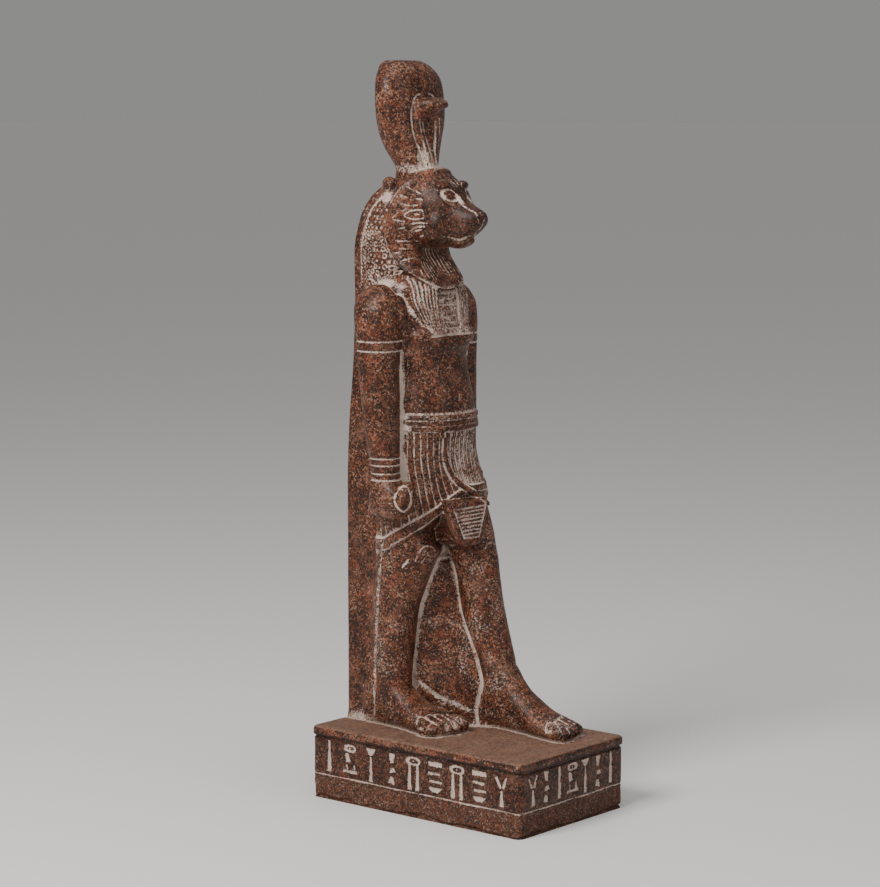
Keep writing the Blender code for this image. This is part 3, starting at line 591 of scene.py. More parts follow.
# Wig, mane and head

# The wig, as column takes it
WIG = (
    (338, 0, 50, 27, 22, 34),
    (350, 0, 51, 27.5, 22, 35),
    (362, 0, 52, 27.5, 18, 34),
    (375, 0, 53, 27.5, 18, 33),
    (388, 0, 53, 27.5, 18, 31),
    (400, 0, 51, 26.5, 18, 28),
    (411, 0, 48, 23.5, 18, 22),
    (419, 0, 46, 18, 16, 15),
    (425, 0, 44, 11, 14, 9),
)
# The mane's rim from the chest up the left side to the crown: height, X and Y
RIM = (
    (348, 0, 15.4), (349, 9, 15.9), (352, 17.5, 18.2), (356, 22.6, 23.8), (363, 26.3, 36),
    (368, 26.9, 41.5), (375, 27.4, 46.4), (386, 28.2, 48.8), (402, 28, 45.3), (413, 25.5, 40),
    (421, 20, 34.5), (426, 12, 31), (428, 0, 30),
)
RIM_KEYS = np.array(RIM)
RIM_LENGTHS = np.concatenate([[0], np.cumsum(np.linalg.norm(np.diff(RIM_KEYS, axis=0), axis=1))])
RIM_TABLE = np.column_stack([RIM_LENGTHS, RIM_KEYS])


def rim_point(turn):
    """The mane's rim at a turn from 0 at the chest, up the left side to 0.5 on the crown, and down to 1."""
    along = (1 - abs(2 * turn - 1)) * RIM_LENGTHS[-1]
    _, z, x, y = eased(RIM_TABLE, along)[0]
    return np.array((x if turn < 0.5 else -x, y, z))


def face_point(turn):
    a = 2 * math.pi * turn
    return np.array((18 * math.sin(a), 28 + 7 * math.cos(a), 399 - 26 * math.cos(a)))


# The mane's swell from its rim, 0, to the face, 1: on the cheeks, and under the chin where it is hollow
MANE_SWELL = (
    (-0.5, -3, -3), (0, -0.6, -0.6), (0.05, 1.5, 1.6), (0.2, 2.6, 1.8), (0.45, 3.3, -1),
    (0.75, 2.6, -3), (1, 0, 0),
)
MANE_MIDDLE = np.array((0, 40, 390))


def mane():
    """A full smooth ruff from the face out to the rim and on down over the throat."""
    rings = []
    for share in (-0.5, 0, 0.02, 0.045, 0.07, 0.1, 0.15, 0.2, 0.3, 0.4, 0.5, 0.6, 0.7, 0.8, 0.9, 1):
        _, cheek, chin = eased(MANE_SWELL, share)[0]
        ring = []
        for k in range(120):
            rim, face = rim_point(k / 120), face_point(k / 120)
            lift = chin + (cheek - chin) * min(1, 2 * math.sin(math.pi * k / 120) ** 2)
            out = (rim - MANE_MIDDLE) / np.linalg.norm(rim - MANE_MIDDLE)
            point = rim + (face - rim) * max(share, 0)
            if share < 0:
                point = point + (MANE_MIDDLE - point) * 0.3 + np.array((0, 14, 0))
            ring.append(point + out * lift * 0.8 + np.array((0, -0.5 * lift, 0)))
        rings.append(np.array(ring))
    return loft(rings)


# The head from the muzzle back: Y, half width, lower and upper edge
SKULL = (
    (-13.5, 5, 391.5, 398.5),
    (-11, 7.6, 389, 401),
    (-7, 9.2, 385.6, 402.8),
    (0, 11.5, 381, 406.5),
    (5, 13.5, 379, 412.5),
    (9, 16, 377.5, 418),
    (15, 19, 376, 422),
    (25, 22.5, 375, 427),
    (38, 22.5, 378, 430),
    (48, 18, 385, 427),
)


def head_forms():
    rings = []
    for y, half, low, high in eased(SKULL, np.linspace(SKULL[0][0], SKULL[-1][0], 70)):
        outline = oval(72, half, (high - low) / 2, (high - low) / 2, 2.35)
        rings.append(upright_ring(outline, 0, y, (low + high) / 2))
    forms = [loft(rings), ball((0, 6, 380.5), (8.5, 10.5, 5), -6), ball((0, -10.6, 396.6), (5.6, 4.4, 4.2))]
    for side in (-1, 1):
        forms.append(ball((side * 11.5, 17, 391), (10, 12, 13)))
        forms.append(ball((side * 8.8, 13.2, 416.6), (7, 5, 3.6), -20, 12 * side))
        forms.append(ball((side * 9.8, 11.2, 411.3), (4.4, 3.4, 3.6), -10, 24 * side))
        forms.append(ball((side * 4.3, -3, 390.6), (5.2, 6.4, 5.2)))
        forms.append(ball((side * 20.5, 50.5, 417.2), (4.4, 5.4, 5.6), -20))
    return forms


# Sun disc and cobra

DISC = (
    (422, 0, 43, 16, 12.5, 12.5),
    (428, 0, 43.5, 15.5, 11.8, 12),
    (434, 0, 45, 17.5, 12.2, 13),
    (441, 0, 47, 21.5, 12.8, 13.8),
    (450, 0, 48.4, 25.8, 13.2, 14.6),
    (460, 0, 49, 28.8, 13.6, 14.4),
    (470, 0, 49.7, 29.9, 13.6, 13.9),
    (480, 0, 50.4, 29.6, 13, 13.3),
    (487, 0, 51.2, 28.2, 12.4, 12.8),
    (493, 0, 52.8, 24.6, 11.2, 11.6),
    (497, 0, 54.8, 20.6, 9.8, 10.2),
    (499.3, 0, 56, 17, 8.6, 9.2),
    (DISC_TOP, 0, 56.2, 14, 6.8, 7.4),
)
# The cobra's sections from its foot to its snout: number, height and Y of the back edge, half width, depth,
# tilt in degrees, and how far the hood's face is hollowed out
COBRA = (
    (0, 425, 41, 5, 13, 0, 0),
    (1, 434, 41, 5.6, 13.4, 0, 1.2),
    (2, 444, 41.5, 8.8, 12.4, 0, 2.4),
    (3, 453, 41.5, 11.8, 11.6, 0, 3.4),
    (4, 461, 41.8, 12.6, 11.2, 2, 3.6),
    (5, 467.5, 41.5, 12.4, 11.2, 18, 1.6),
    (6, 473, 38.5, 11.6, 11.4, 50, 0),
    (7, 475.6, 33, 10.6, 10.8, 78, 0),
    (8, 475.4, 27.5, 9.4, 9.3, 95, 0),
    (9, 473.8, 22.5, 7.4, 7.2, 108, 0),
    (10, 471.5, 19.3, 4.6, 4.4, 118, 0),
)


def cobra():
    """The rearing cobra: a hollow-faced hood against the disc, bent forward at the top into a blunt head."""
    rings = []
    for _, z, back, half, depth, tilt, hollow in eased(COBRA, np.linspace(0, 10, 60)):
        a = math.radians(tilt)
        outline = oval(48, half, depth / 2, depth / 2, 2.6)
        across = np.clip(1 - (outline[:, 0] / (0.82 * half)) ** 2, 0, 1)
        outline[:, 1] += np.where(outline[:, 1] < 0, hollow * across, 0)
        reach = outline[:, 1] - depth / 2
        rings.append(np.column_stack([outline[:, 0], back + reach * math.cos(a), z + reach * math.sin(a)]))
    return loft(rings)


LAPPET_EDGE = ((LAPPET_HEM, 19.8), (330, 24.2), (342, 27.8), (362, 25))


def lappet_edge(z):
    return np.minimum(eased(LAPPET_EDGE, z)[:, 1], 0.92 * eased(TORSO, z)[:, 3])


def lappet(side):
    rings = []
    for z in np.linspace(LAPPET_HEM, 358, 24):
        half = eased(TORSO, z)[0][3]
        steps = np.arcsin((np.linspace(COLLAR_HALF, lappet_edge(z)[0], 40) / half) ** 1.1)
        top = [torso_point(side * a, z, LAPPET_PROUD) for a in steps]
        under = [torso_point(side * a, z, -4) for a in steps[::-4]]
        rings.append(np.array(top + under))
    return loft(rings)


def figure_forms():
    forms = [pillar(), *torso_forms(), kilt(), flap_border(), belt(), apron(), leg_web(), calf_web()]
    forms += [column(WIG, 72, 2.3), mane(), column(DISC, 90, 2.5), cobra()]
    forms += [column(RIGHT_LEG, 56), column(LEFT_LEG, 56)]
    for side, centre, tip in FEET:
        forms += foot(side, centre, tip)
    forms += head_forms()
    for side in (-1, 1):
        forms += arm_forms(side)
        forms.append(lappet(side))
    return forms


# Stone working


def noise(points, size, seed=0):
    """Smooth random values from -1 to 1 over points in space, with features of about that size."""
    q = points / size + seed * 11.3
    cell = np.floor(q).astype(np.int64)
    part = q - cell
    part = part * part * (3 - 2 * part)
    total = np.zeros(len(points))
    for corner in ((i, j, k) for i in (0, 1) for j in (0, 1) for k in (0, 1)):
        key = (cell + corner) @ np.array((73856093, 19349663, 83492791)) + seed * 7919
        key = (key ^ (key >> 13)) * 1274126177 & 0x7FFFFFFF
        value = (key ^ (key >> 16)) % 20011 / 10005.5 - 1
        weight = np.ones(len(points))
        for axis, side in enumerate(corner):
            weight *= part[:, axis] if side else 1 - part[:, axis]
        total += value * weight
    return total


def ramp(values, low, high):
    """0 below low, 1 above high, with a soft rise between."""
    t = np.clip((values - low) / (high - low), 0, 1)
    return t * t * (3 - 2 * t)


def nearest_tree(points):
    tree = KDTree(len(points))
    for k, spot in enumerate(points):
        tree.insert(spot, k)
    tree.balance()
    return tree


ALL = slice(None)
# The colour fields: chalk, dust, wear and painted shade
FIELDS = ("chalk", "dust", "wear", "painted_shade")


class Skin:
    """A fused mesh, with how far each point is moved, in or out, and how much of each colour it takes."""

    def __init__(self, name, forms):
        points, faces, base = [], [], 0
        for spots, sides in forms:
            points.append(spots)
            faces += [tuple(i + base for i in side) for side in sides]
            base += len(spots)
        rough = bpy.data.meshes.new(name)
        rough.from_pydata((np.concatenate(points) * MM).tolist(), [], faces)
        self.object = bpy.data.objects.new(name, rough)
        bpy.context.scene.collection.objects.link(self.object)
        fuse = self.object.modifiers.new("fuse", "REMESH")
        fuse.mode = "VOXEL"
        fuse.voxel_size = VOXEL * MM
        self.mesh = self.settled()
        count = len(self.mesh.vertices)
        flat = np.empty(count * 3)
        self.mesh.vertices.foreach_get("co", flat)
        self.points = flat.reshape(-1, 3) / MM
        ends = np.empty(len(self.mesh.edges) * 2, np.int32)
        self.mesh.edges.foreach_get("vertices", ends)
        self.ends = ends.reshape(-1, 2)
        self.degree = np.maximum(np.bincount(ends, minlength=count), 1)
        self.lift = np.zeros(count)
        self.fields = {field: np.zeros(count) for field in FIELDS}

    def settled(self):
        """The object's mesh with its modifier applied, which becomes its own."""
        shown = self.object.evaluated_get(bpy.context.evaluated_depsgraph_get())
        mesh = bpy.data.meshes.new_from_object(shown)
        self.object.modifiers.clear()
        self.object.data = mesh
        return mesh

    def noise(self, spots, size, seed):
        return noise(self.points[spots], size, seed)

    def averaged(self, values):
        """Each point's mean of its neighbours' values."""
        a, b = self.ends.T
        count = len(self.points)
        rows = np.atleast_2d(values.T)
        sums = [np.bincount(a, row[b], count) + np.bincount(b, row[a], count) for row in rows]
        return np.squeeze(np.array(sums).T) / (self.degree[:, None] if values.ndim > 1 else self.degree)

    def smooth(self, times):
        """Evens out the voxel steps without shrinking the form."""
        for _ in range(times):
            for weight in (0.55, -0.57):
                self.points = self.points + (self.averaged(self.points) - self.points) * weight

    def normals(self):
        self.mesh.vertices.foreach_set("co", (self.points * MM).ravel())
        self.mesh.update()
        flat = np.empty(len(self.points) * 3)
        self.mesh.vertex_normals.foreach_get("vector", flat)
        return flat.reshape(-1, 3)

    def press(self):
        """Moves every point by its lift, then clears the lift."""
        self.points = self.points + self.normals() * self.lift[:, None]
        self.lift[:] = 0

    def hollow(self, reach):
        """How far each point lies under the mean of those around it."""
        mean = self.points
        for _ in range(reach):
            mean = self.averaged(mean)
        return ((mean - self.points) * self.normals()).sum(1)

    def paint(self, field, spots, amounts):
        self.fields[field][spots] = np.maximum(self.fields[field][spots], amounts)

    def sink(self, spots, depths):
        self.lift[spots] = np.minimum(self.lift[spots], -depths)

    def finish(self, material):
        """Thins the mesh, stores the fields as attributes and gives it its place in the frame."""
        self.normals()
        for name, values in self.fields.items():
            self.mesh.attributes.new(name, "FLOAT", "POINT").data.foreach_set("value", values)
        self.mesh.calc_loop_triangles()
        thin = self.object.modifiers.new("thin", "DECIMATE")
        thin.ratio = min(1, MOST_TRIANGLES / len(self.mesh.loop_triangles))
        mesh = self.settled()
        mesh.shade_smooth()
        mesh.materials.clear()
        mesh.materials.append(material)
        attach(self.object, "root")
        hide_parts("statue")


# The two axes of each plane that lines are drawn in, and all three for a line in space
SIDE, FRONT, TOP = ((0, 1, 0), (0, 0, 1)), ((1, 0, 0), (0, 0, 1)), ((1, 0, 0), (0, 1, 0))
SPACE = ((1, 0, 0), (0, 1, 0), (0, 0, 1))


def quarter(side):
    """The plane seen from between the front and a side of the figure."""
    return (-side * 0.643, -0.766, 0), (0, 0, 1)


def rounded(path, closed=False):
    """A path of few points as a smooth one."""
    path = np.array(path, float)
    if len(path) < 3:
        return path
    if closed:
        around = np.concatenate([path[-1:], path, path[:2]])
    else:
        around = np.concatenate([2 * path[:1] - path[1:2], path, 2 * path[-1:] - path[-2:-1]])
    t = np.linspace(0, 1, 7)[:-1, None]
    parts = []
    for a, b, c, d in zip(around, around[1:], around[2:], around[3:]):
        bend, twist = 2 * a - 5 * b + 4 * c - d, 3 * b - a - 3 * c + d
        parts.append(0.5 * (2 * b + (c - a) * t + bend * t**2 + twist * t**3))
    parts.append(around[-2:-1])
    return np.concatenate(parts)


def distance_along(spots, path):
    """Each spot's distance to a path, and where on the path that is, from 0 to 1."""
    lengths = np.linalg.norm(np.diff(path, axis=0), axis=1)
    total = lengths.sum()
    nearest = np.full(len(spots), 1e9)
    along = np.zeros(len(spots))
    gone = 0
    for a, b, length in zip(path, path[1:], lengths):
        if length > 0:
            step = (b - a) / length
            t = np.clip((spots - a) @ step, 0, length)
            d = np.linalg.norm(spots - a - t[:, None] * step, axis=1)
            closer = d < nearest
            nearest[closer] = d[closer]
            along[closer] = (gone + t[closer]) / total
            gone += length
    return nearest, along


def cut(skin, where, plane, path, width=1.2, depth=0.6, fill=1, taper=0.7, closed=False):
    """A chisel line along a path drawn in a plane, on the points that where picks, with chalk in it.

    A taper of 0 keeps its full width to the ends, and of 1 brings them to a point.
    """
    path = rounded(path, closed)
    low, high = path.min(0) - width, path.max(0) + width
    picked = np.flatnonzero(where)
    flat = skin.points[picked] @ np.array(plane).T
    inside = ((flat > low) & (flat < high)).all(1)
    spots, flat = picked[inside], flat[inside]
    if not len(spots):
        return
    d, along = distance_along(flat, path)
    d = d + skin.noise(spots, 1.7, 5) * 0.16 + skin.noise(spots, 5, 27) * 0.12
    half = np.full(len(d), width / 2)
    if not closed:
        half = width / 2 * (1 - taper + taper * np.sqrt(np.sin(math.pi * np.clip(along, 0.03, 0.97))))
    skin.sink(spots, depth * ramp(1 - d / half, 0, 0.9))
    worn = 0.86 + 0.34 * skin.noise(spots, 4, 28)
    skin.paint("chalk", spots, fill * worn * ramp(1.2 - d / half, 0, 0.6))


def wash(skin, where, middle, radii, amount):
    """Chalk left on the surface round a place."""
    off = np.linalg.norm((skin.points - np.array(middle)) / np.array(radii), axis=1)
    spots = np.flatnonzero(where & (off < 1))
    skin.paint("chalk", spots, amount * ramp(1 - off[spots], 0, 0.7))


# Carving of the figure

# Strokes of the mane as seen from the side, as Y and height; both sides take the same
MANE_STROKES = (
    ((42.5, 395), (33.4, 393.2)),
    ((42.2, 395.6), (38.2, 399.6)),
    ((37.5, 406), (31.6, 404.2)),
    ((36.2, 400.4), (32.8, 402.2)),
    ((32.2, 391.8), (24, 392.9), (15.9, 392.6)),
    ((33.2, 387.1), (27.7, 389.7), (17.1, 390.7)),
    ((32.1, 386), (27, 387.6), (22.4, 388.2)),
    ((40.5, 380.8), (36, 380.4), (30.8, 380)),
    ((35.6, 378.4), (32.5, 378), (28.9, 379.3)),
    ((36, 367.2), (33, 368.4), (30.8, 369.3)),
    ((41.5, 372.6), (36.5, 372.9)),
    ((37.6, 411.6), (32.5, 409.4)),
    ((33.5, 417), (28.5, 413.8)),
    ((27.7, 398.6), (22.3, 398.5)),
    ((29.5, 404.2), (24.2, 404.6)),
    ((30.5, 374.4), (27.6, 375.6)),
    ((26, 408.8), (21, 408)),
    ((27.2, 413.6), (22.4, 412)),
    ((38.8, 388.2), (34.6, 389.8)),
    ((38.4, 375.8), (34.8, 375.2)),
    ((26.4, 383.4), (22, 384.6)),
)
MANE_LEAF = ((34.4, 398.1), (30.2, 400.6), (21.7, 401.3), (20.2, 398.3), (21.2, 395.8), (30.9, 395.3))
# Strokes under the chin as seen from the front, as X and height
THROAT_STROKES = (
    ((1.6, 375), (1.4, 366), (1.2, 359)),
    ((4.6, 375), (4.8, 366), (4.6, 357)),
    ((7.6, 373), (8, 364), (7.8, 354)),
    ((10.6, 369), (11.2, 361), (10.8, 353)),
    ((14.2, 366), (15, 360), (14.8, 355)),
    ((18.6, 362), (19, 357.5)),
    ((10.4, 366.5), (13.2, 361.5)),
)
THROAT_FORK = ((19.6, 356.7), (12, 359.5), (2.4, 363.4))


def sideways(normals):
    return np.abs(normals[:, 0]) > 0.3


def carve_mane(skin, normals):
    x, y, z = skin.points.T
    cheek = (z > 350) & (z < 424) & (y > 14) & (y < 52) & (np.abs(normals[:, 0]) > 0.25)
    for path in MANE_STROKES:
        cut(skin, cheek, SIDE, path, 1.25, 0.75, 0.95, 0.85)
    cut(skin, cheek, SIDE, MANE_LEAF, 1.15, 0.7, closed=True)
    throat = (z > 350) & (z < 377) & (y < 40) & (normals[:, 1] < 0.1)
    for path in THROAT_STROKES:
        for side in (-1, 1):
            cut(skin, throat, FRONT, mirrored(path, side), 1.15, 0.5, 0.95)
    cut(skin, throat & (x < 0), FRONT, mirrored(THROAT_FORK, -1), 0.8, 0.3, 0.5)
    tree = nearest_tree([rim_point(k / 160) for k in range(161)])
    near = np.flatnonzero((z > 344) & (z < 430) & (y > 14) & (y < 56))
    off = np.array([tree.find(spot)[2] for spot in skin.points[near]])
    worn = 0.6 + 0.5 * skin.noise(near, 7, 29)
    skin.paint("chalk", near, worn * ramp(2 - off, 0, 1.2))


# Chalk down the wig's edge beside the pillar, on one side: X, Y and height
WIG_EDGE = (
    (23.1, 48.7, 414.7), (24.1, 62.5, 401.1), (24.4, 68.6, 389.5), (22.4, 74, 376.5), (22.1, 74.4, 361),
    (22.3, 74.4, 352),
)


# The tufts' spacing along a row, and the rows' as a share of that
TUFT_PITCH = 4.3
TUFT_RISE = 0.87


def carve_wig(skin, normals):
    """Small tufts of the wig: a jittered grid of rings and dots between the mane and the pillar."""
    x, y, z = skin.points.T
    keys = eased(WIG, z)
    reach = np.where(y > keys[:, 2], keys[:, 5], keys[:, 4])
    shell = np.abs(x / keys[:, 3]) ** 2.3 + np.abs((y - keys[:, 2]) / reach) ** 2.3
    rim_y = np.interp(z, RIM_KEYS[4:9, 0], RIM_KEYS[4:9, 2])
    behind = (z > 346) & (z < 420) & (y > rim_y + 2) & (y < 80)
    spots = np.flatnonzero((shell > 0.8) & (shell < 1.3) & behind)
    u = y[spots] + 0.6 * (27.5 - np.abs(x[spots]))
    v = z[spots]
    row = np.round(v / TUFT_PITCH / TUFT_RISE)
    nearest = np.full(len(spots), 1e9)
    kind = np.zeros(len(spots))
    for up in (-1, 0, 1):
        for over in (-1, 0, 1):
            r = row + up
            c = np.round(u / TUFT_PITCH - r % 2 / 2) + over
            place = np.column_stack([r * 1.37, c * 2.11, np.sign(x[spots]) * 3.3])
            cu = (c + r % 2 / 2) * TUFT_PITCH + 1.1 * noise(place, 0.83, 1)
            cv = r * TUFT_PITCH * TUFT_RISE + 1.1 * noise(place, 0.83, 2)
            d = np.hypot(u - cu, v - cv)
            kind = np.where(d < nearest, noise(place, 0.83, 3), kind)
            nearest = np.minimum(d, nearest)
    ringed = (kind > -0.35) & (v < 384 + 22 * kind)
    groove = np.where(ringed, ramp(0.75 - np.abs(nearest - 1.45), 0, 0.45), ramp(1.3 - nearest, 0, 0.6))
    skin.sink(spots, 0.75 * groove)
    fade = 0.62 + 0.45 * skin.noise(spots, 8, 4) + 0.3 * kind
    skin.paint("chalk", spots, 1.15 * groove * fade)
    # Painted shade on the ground between the tufts
    skin.paint("painted_shade", spots, 0.55 * ramp(nearest, 1.4, 2.2))
    for side in (-1, 1):
        cut(skin, (z > 350) & (y > 44), SPACE, mirrored(WIG_EDGE, side), 3.2, 0.3, 0.95, 0.5)


# Lines of the face as seen from the front, on the figure's left, as X and height
TEAR_LINE = ((6.6, 410.6), (6.3, 406.5), (5.6, 402.5), (4.8, 398.5))
INNER_BROW = ((3.2, 421.6), (1.5, 418.2), (0.9, 415.8))
OUTER_BROW = ((6.4, 420.8), (4.4, 417.6), (3.5, 415.4))
NOSTRIL = ((5.2, 396.5), (4.2, 393.2), (1.8, 392.2))
NOSE_WING = ((1.2, 400), (4.4, 400.4), (6, 397))
# The mouth from the side, as Y and height
MOUTH = ((9.5, 384.6), (6.5, 383.4), (1.2, 381.9), (-3.4, 383.4), (-8, 385.8))


def carve_face(skin, normals):
    x, y, z = skin.points.T
    front = (y < 22) & (z > 374) & (z < 424)
    angles = np.linspace(0, 2 * math.pi, 13)[:-1]
    ear = (np.abs(x) > 17) & (z > 408) & (z < 426) & (y > 42) & (y < 58)
    eye_rim = [(9.7 + 4.3 * math.cos(a), 411.2 + 3.7 * math.sin(a)) for a in angles]
    for side, amount in ((-1, 1), (1, 0.9)):
        mine = front & (np.sign(x) == side)
        cut(skin, mine & (y > 1), FRONT, mirrored(eye_rim, side), 1.5, 0.9, closed=True)
        cut(skin, mine & (y < 14), FRONT, mirrored(TEAR_LINE, side), 1.7, 0.55, 1, 0.5)
        cut(skin, mine, FRONT, mirrored(INNER_BROW, side), 1.2, 0.6)
        cut(skin, mine, FRONT, mirrored(OUTER_BROW, side), 1.1, 0.5, 0.9)
        cut(skin, front & (y < -3), FRONT, mirrored(NOSTRIL, side), 1.1, 0.7, 0.6)
        cut(skin, front & (y < 4) & (z < 402), FRONT, mirrored(NOSE_WING, side), 0.9, 0.35, 0.3)
        wash(skin, y < 20, (side * 4.9, 4, 407.6), (2.7, 9, 5), 1.3)
        wash(skin, y < 20, (side * 13.6, 9, 410), (2.2, 7, 2.6), 0.8)
        wash(skin, ear | (z < 413), (side * 25, 50, 409.5), (8, 7.5, 6.5), amount)
    cut(skin, ear, SIDE, ((48.2, 414.5), (47.8, 417), (49.2, 419.6)), 3, 1.4, 0.2, 0.5)
    cut(skin, front & sideways(normals) & (y < 9), SIDE, MOUTH, 1.5, 0.9, 0.95)
    cut(skin, front & (y < 2) & (z < 392), FRONT, ((-6, 383.6), (0, 384.6), (6, 383.6)), 1.3, 0.8, 0.8)
    cut(skin, front & (y < -4) & (z < 396), FRONT, ((0, 396), (0, 384.6)), 1.4, 0.6, 0.95)
    # Painted shade darkening the front of the face
    skin.paint("painted_shade", front & (np.abs(x) < 24) & (z > 378), 0.6)


# Where the shoulder's and the breast's flesh meets the wig and the lappet: X, Y and height
SHOULDER_SEAM = (
    (37.5, 47, 350.5), (35.6, 34.8, 348.5), (32.3, 29.8, 342.6), (29.8, 26.1, 336.7),
    (26.5, 23.1, 330.7), (22.3, 19.9, 323.9), (19.9, 16.5, 318.8),
)


def carve_chest(skin, normals):
    x, y, z = skin.points.T
    chest = (z > 314) & (z < 366) & (y < 44) & (normals[:, 1] < -0.05) & (np.abs(x) < 31)
    spots = np.flatnonzero(chest)
    over, up = np.abs(x[spots]), z[spots]
    wide = lappet_edge(up) - COLLAR_HALF
    flute = (over - COLLAR_HALF) / np.maximum(wide, 1) * LAPPET_FLUTES
    shown = ramp(np.interp(over, RIM_KEYS[:5, 1], RIM_KEYS[:5, 0]) - 0.5 - up, 0, 0.8)
    on = (flute > -0.2) & (flute < LAPPET_FLUTES + 0.2) & (up > LAPPET_HEM) & (shown > 0)
    off = np.abs(flute - np.round(flute)) * wide / LAPPET_FLUTES
    off = np.where(on, off + 0.1 * skin.noise(spots, 2.5, 6), 9)
    skin.sink(spots, 0.6 * ramp(0.75 - off, 0, 0.7) * shown)
    streaks = noise(np.column_stack([flute * 2.6, up / 9, flute * 0]), 1, 30)
    fill = np.maximum(ramp(0.85 - off, 0, 0.5), 0.3 + 0.42 * streaks)
    worn = 0.75 + 0.3 * skin.noise(spots, 7, 7)
    skin.paint("chalk", spots, np.where(on, shown * worn * fill, 0))
    collar = (over < COLLAR_HALF) & (up > LAPPET_HEM)
    skin.paint("chalk", spots, collar * shown * (0.5 + 0.3 * noise(skin.points[spots] * (1, 1, 2.5), 5, 31)))
    span = COLLAR_HALF - 0.8
    for k in range(7):
        height = LAPPET_HEM + 4 + 3.9 * k
        lean = 0.5 * math.sin(2.3 * k)
        line = ((-span, height + lean), (0, height), (span, height - lean))
        cut(skin, chest, FRONT, line, 1.2, 0.5, 0.8 + 0.2 * math.sin(1.7 * k), 0.4)
    hem = ((-21, LAPPET_HEM - 0.2), (0, LAPPET_HEM), (21, LAPPET_HEM - 0.2))
    cut(skin, chest, FRONT, hem, 2.2, 0.6, 1, 0.3)
    for side in (-1, 1):
        cut(skin, z > 300, SPACE, mirrored(SHOULDER_SEAM, side), 4.6, 0.5, 1.15, 0.6)
        wash(skin, z > 342, (side * 31, 45, 352), (11, 13, 5.5), 1.1)
        wash(skin, z > 342, (side * 29.5, 32.5, 350.5), (4, 5, 5), 0.9)
    belly = (z > 262) & (z < 300) & (normals[:, 1] < -0.4) & (np.abs(x) < 30) & (y < 34)
    cut(skin, belly, FRONT, ((0, 279.4), (0, 276), (0, 273.6)), 3, 1.3, 0.6, 0.6)
    skin.paint("chalk", belly, 0.3 * ramp(271 - z[belly], 0, 5.5))


# The ring round the end of the rod in the right fist, in its quarter plane; the left one lies LEFT_RING off
ROD_RING = (
    (-42.8, 219.9), (-48, 213.7), (-47.2, 207.9), (-42.8, 203.6), (-38.4, 205.9), (-37.2, 211.7),
    (-39.1, 217.8),
)
LEFT_RING = (-6.5, 0)
# Carved rings of the arms: height, width and how far out they begin
ARM_RINGS = [(h, 1.15, 33.5) for h in ARMLETS] + [(h, 1.1, 36.4) for h in BRACELETS]


def carve_arms(skin, normals):
    x, y, z = skin.points.T
    over = np.abs(x)
    for side in (-1, 1):
        mine, middle = np.sign(x) == side, arm_y(side)
        arm = mine & (over > 28.5) & (np.hypot(x - side * ARM_X, y - middle + 3) < 21)
        for height, width, inner in ARM_RINGS:
            spots = np.flatnonzero(arm & (np.abs(z - height) < 2) & (over > inner))
            off = np.abs(z[spots] - height) + 0.12 * skin.noise(spots, 3, 8)
            skin.sink(spots, 0.55 * ramp(width * 0.75 - off, 0, 0.7))
            skin.paint("chalk", spots, 0.85 * ramp(width * 0.72 - off, 0, 0.35))
        outward = normals @ np.array((side * 0.766, -0.643, 0))
        face = mine & (z < 223) & (z > 200) & (y < middle - 4) & (outward > 0.1)
        ring = np.array(ROD_RING) + (LEFT_RING if side > 0 else (0, 0))
        cut(skin, face, quarter(side), ring, 1.5, 0.7, 1.1, closed=True)
        knuckles = mine & (z < 220) & (z > 196) & (np.abs(normals[:, 0]) > 0.45) & (over > 44)
        for k in range(3):
            line = ((middle - 24, 213.5 - 4.3 * k), (middle - 8, 212 - 4.3 * k))
            cut(skin, knuckles, SIDE, line, 1.2, 0.45, 0.12, 0.6)
    strip = np.flatnonzero((over > 28) & (over < 38) & (y < 36) & (y > 21) & (z > 214) & (z < 312))
    frayed = 0.9 * skin.noise(strip, 6, 32) + 0.5 * skin.noise(strip, 2, 33)
    trunk = np.interp(z[strip], (214, 232, 250, 300, 312), (30, 31.6, 32.8, 32.6, 31.5))
    amount = ramp(over[strip] - trunk + frayed, -0.6, 0.8) * ramp(37.5 - over[strip] + frayed, -0.6, 0.8)
    amount *= ramp(309.5 + frayed - z[strip], 0, 2) * (normals[strip, 1] < -0.2)
    skin.paint("chalk", strip, (1 + 0.25 * frayed) * amount)


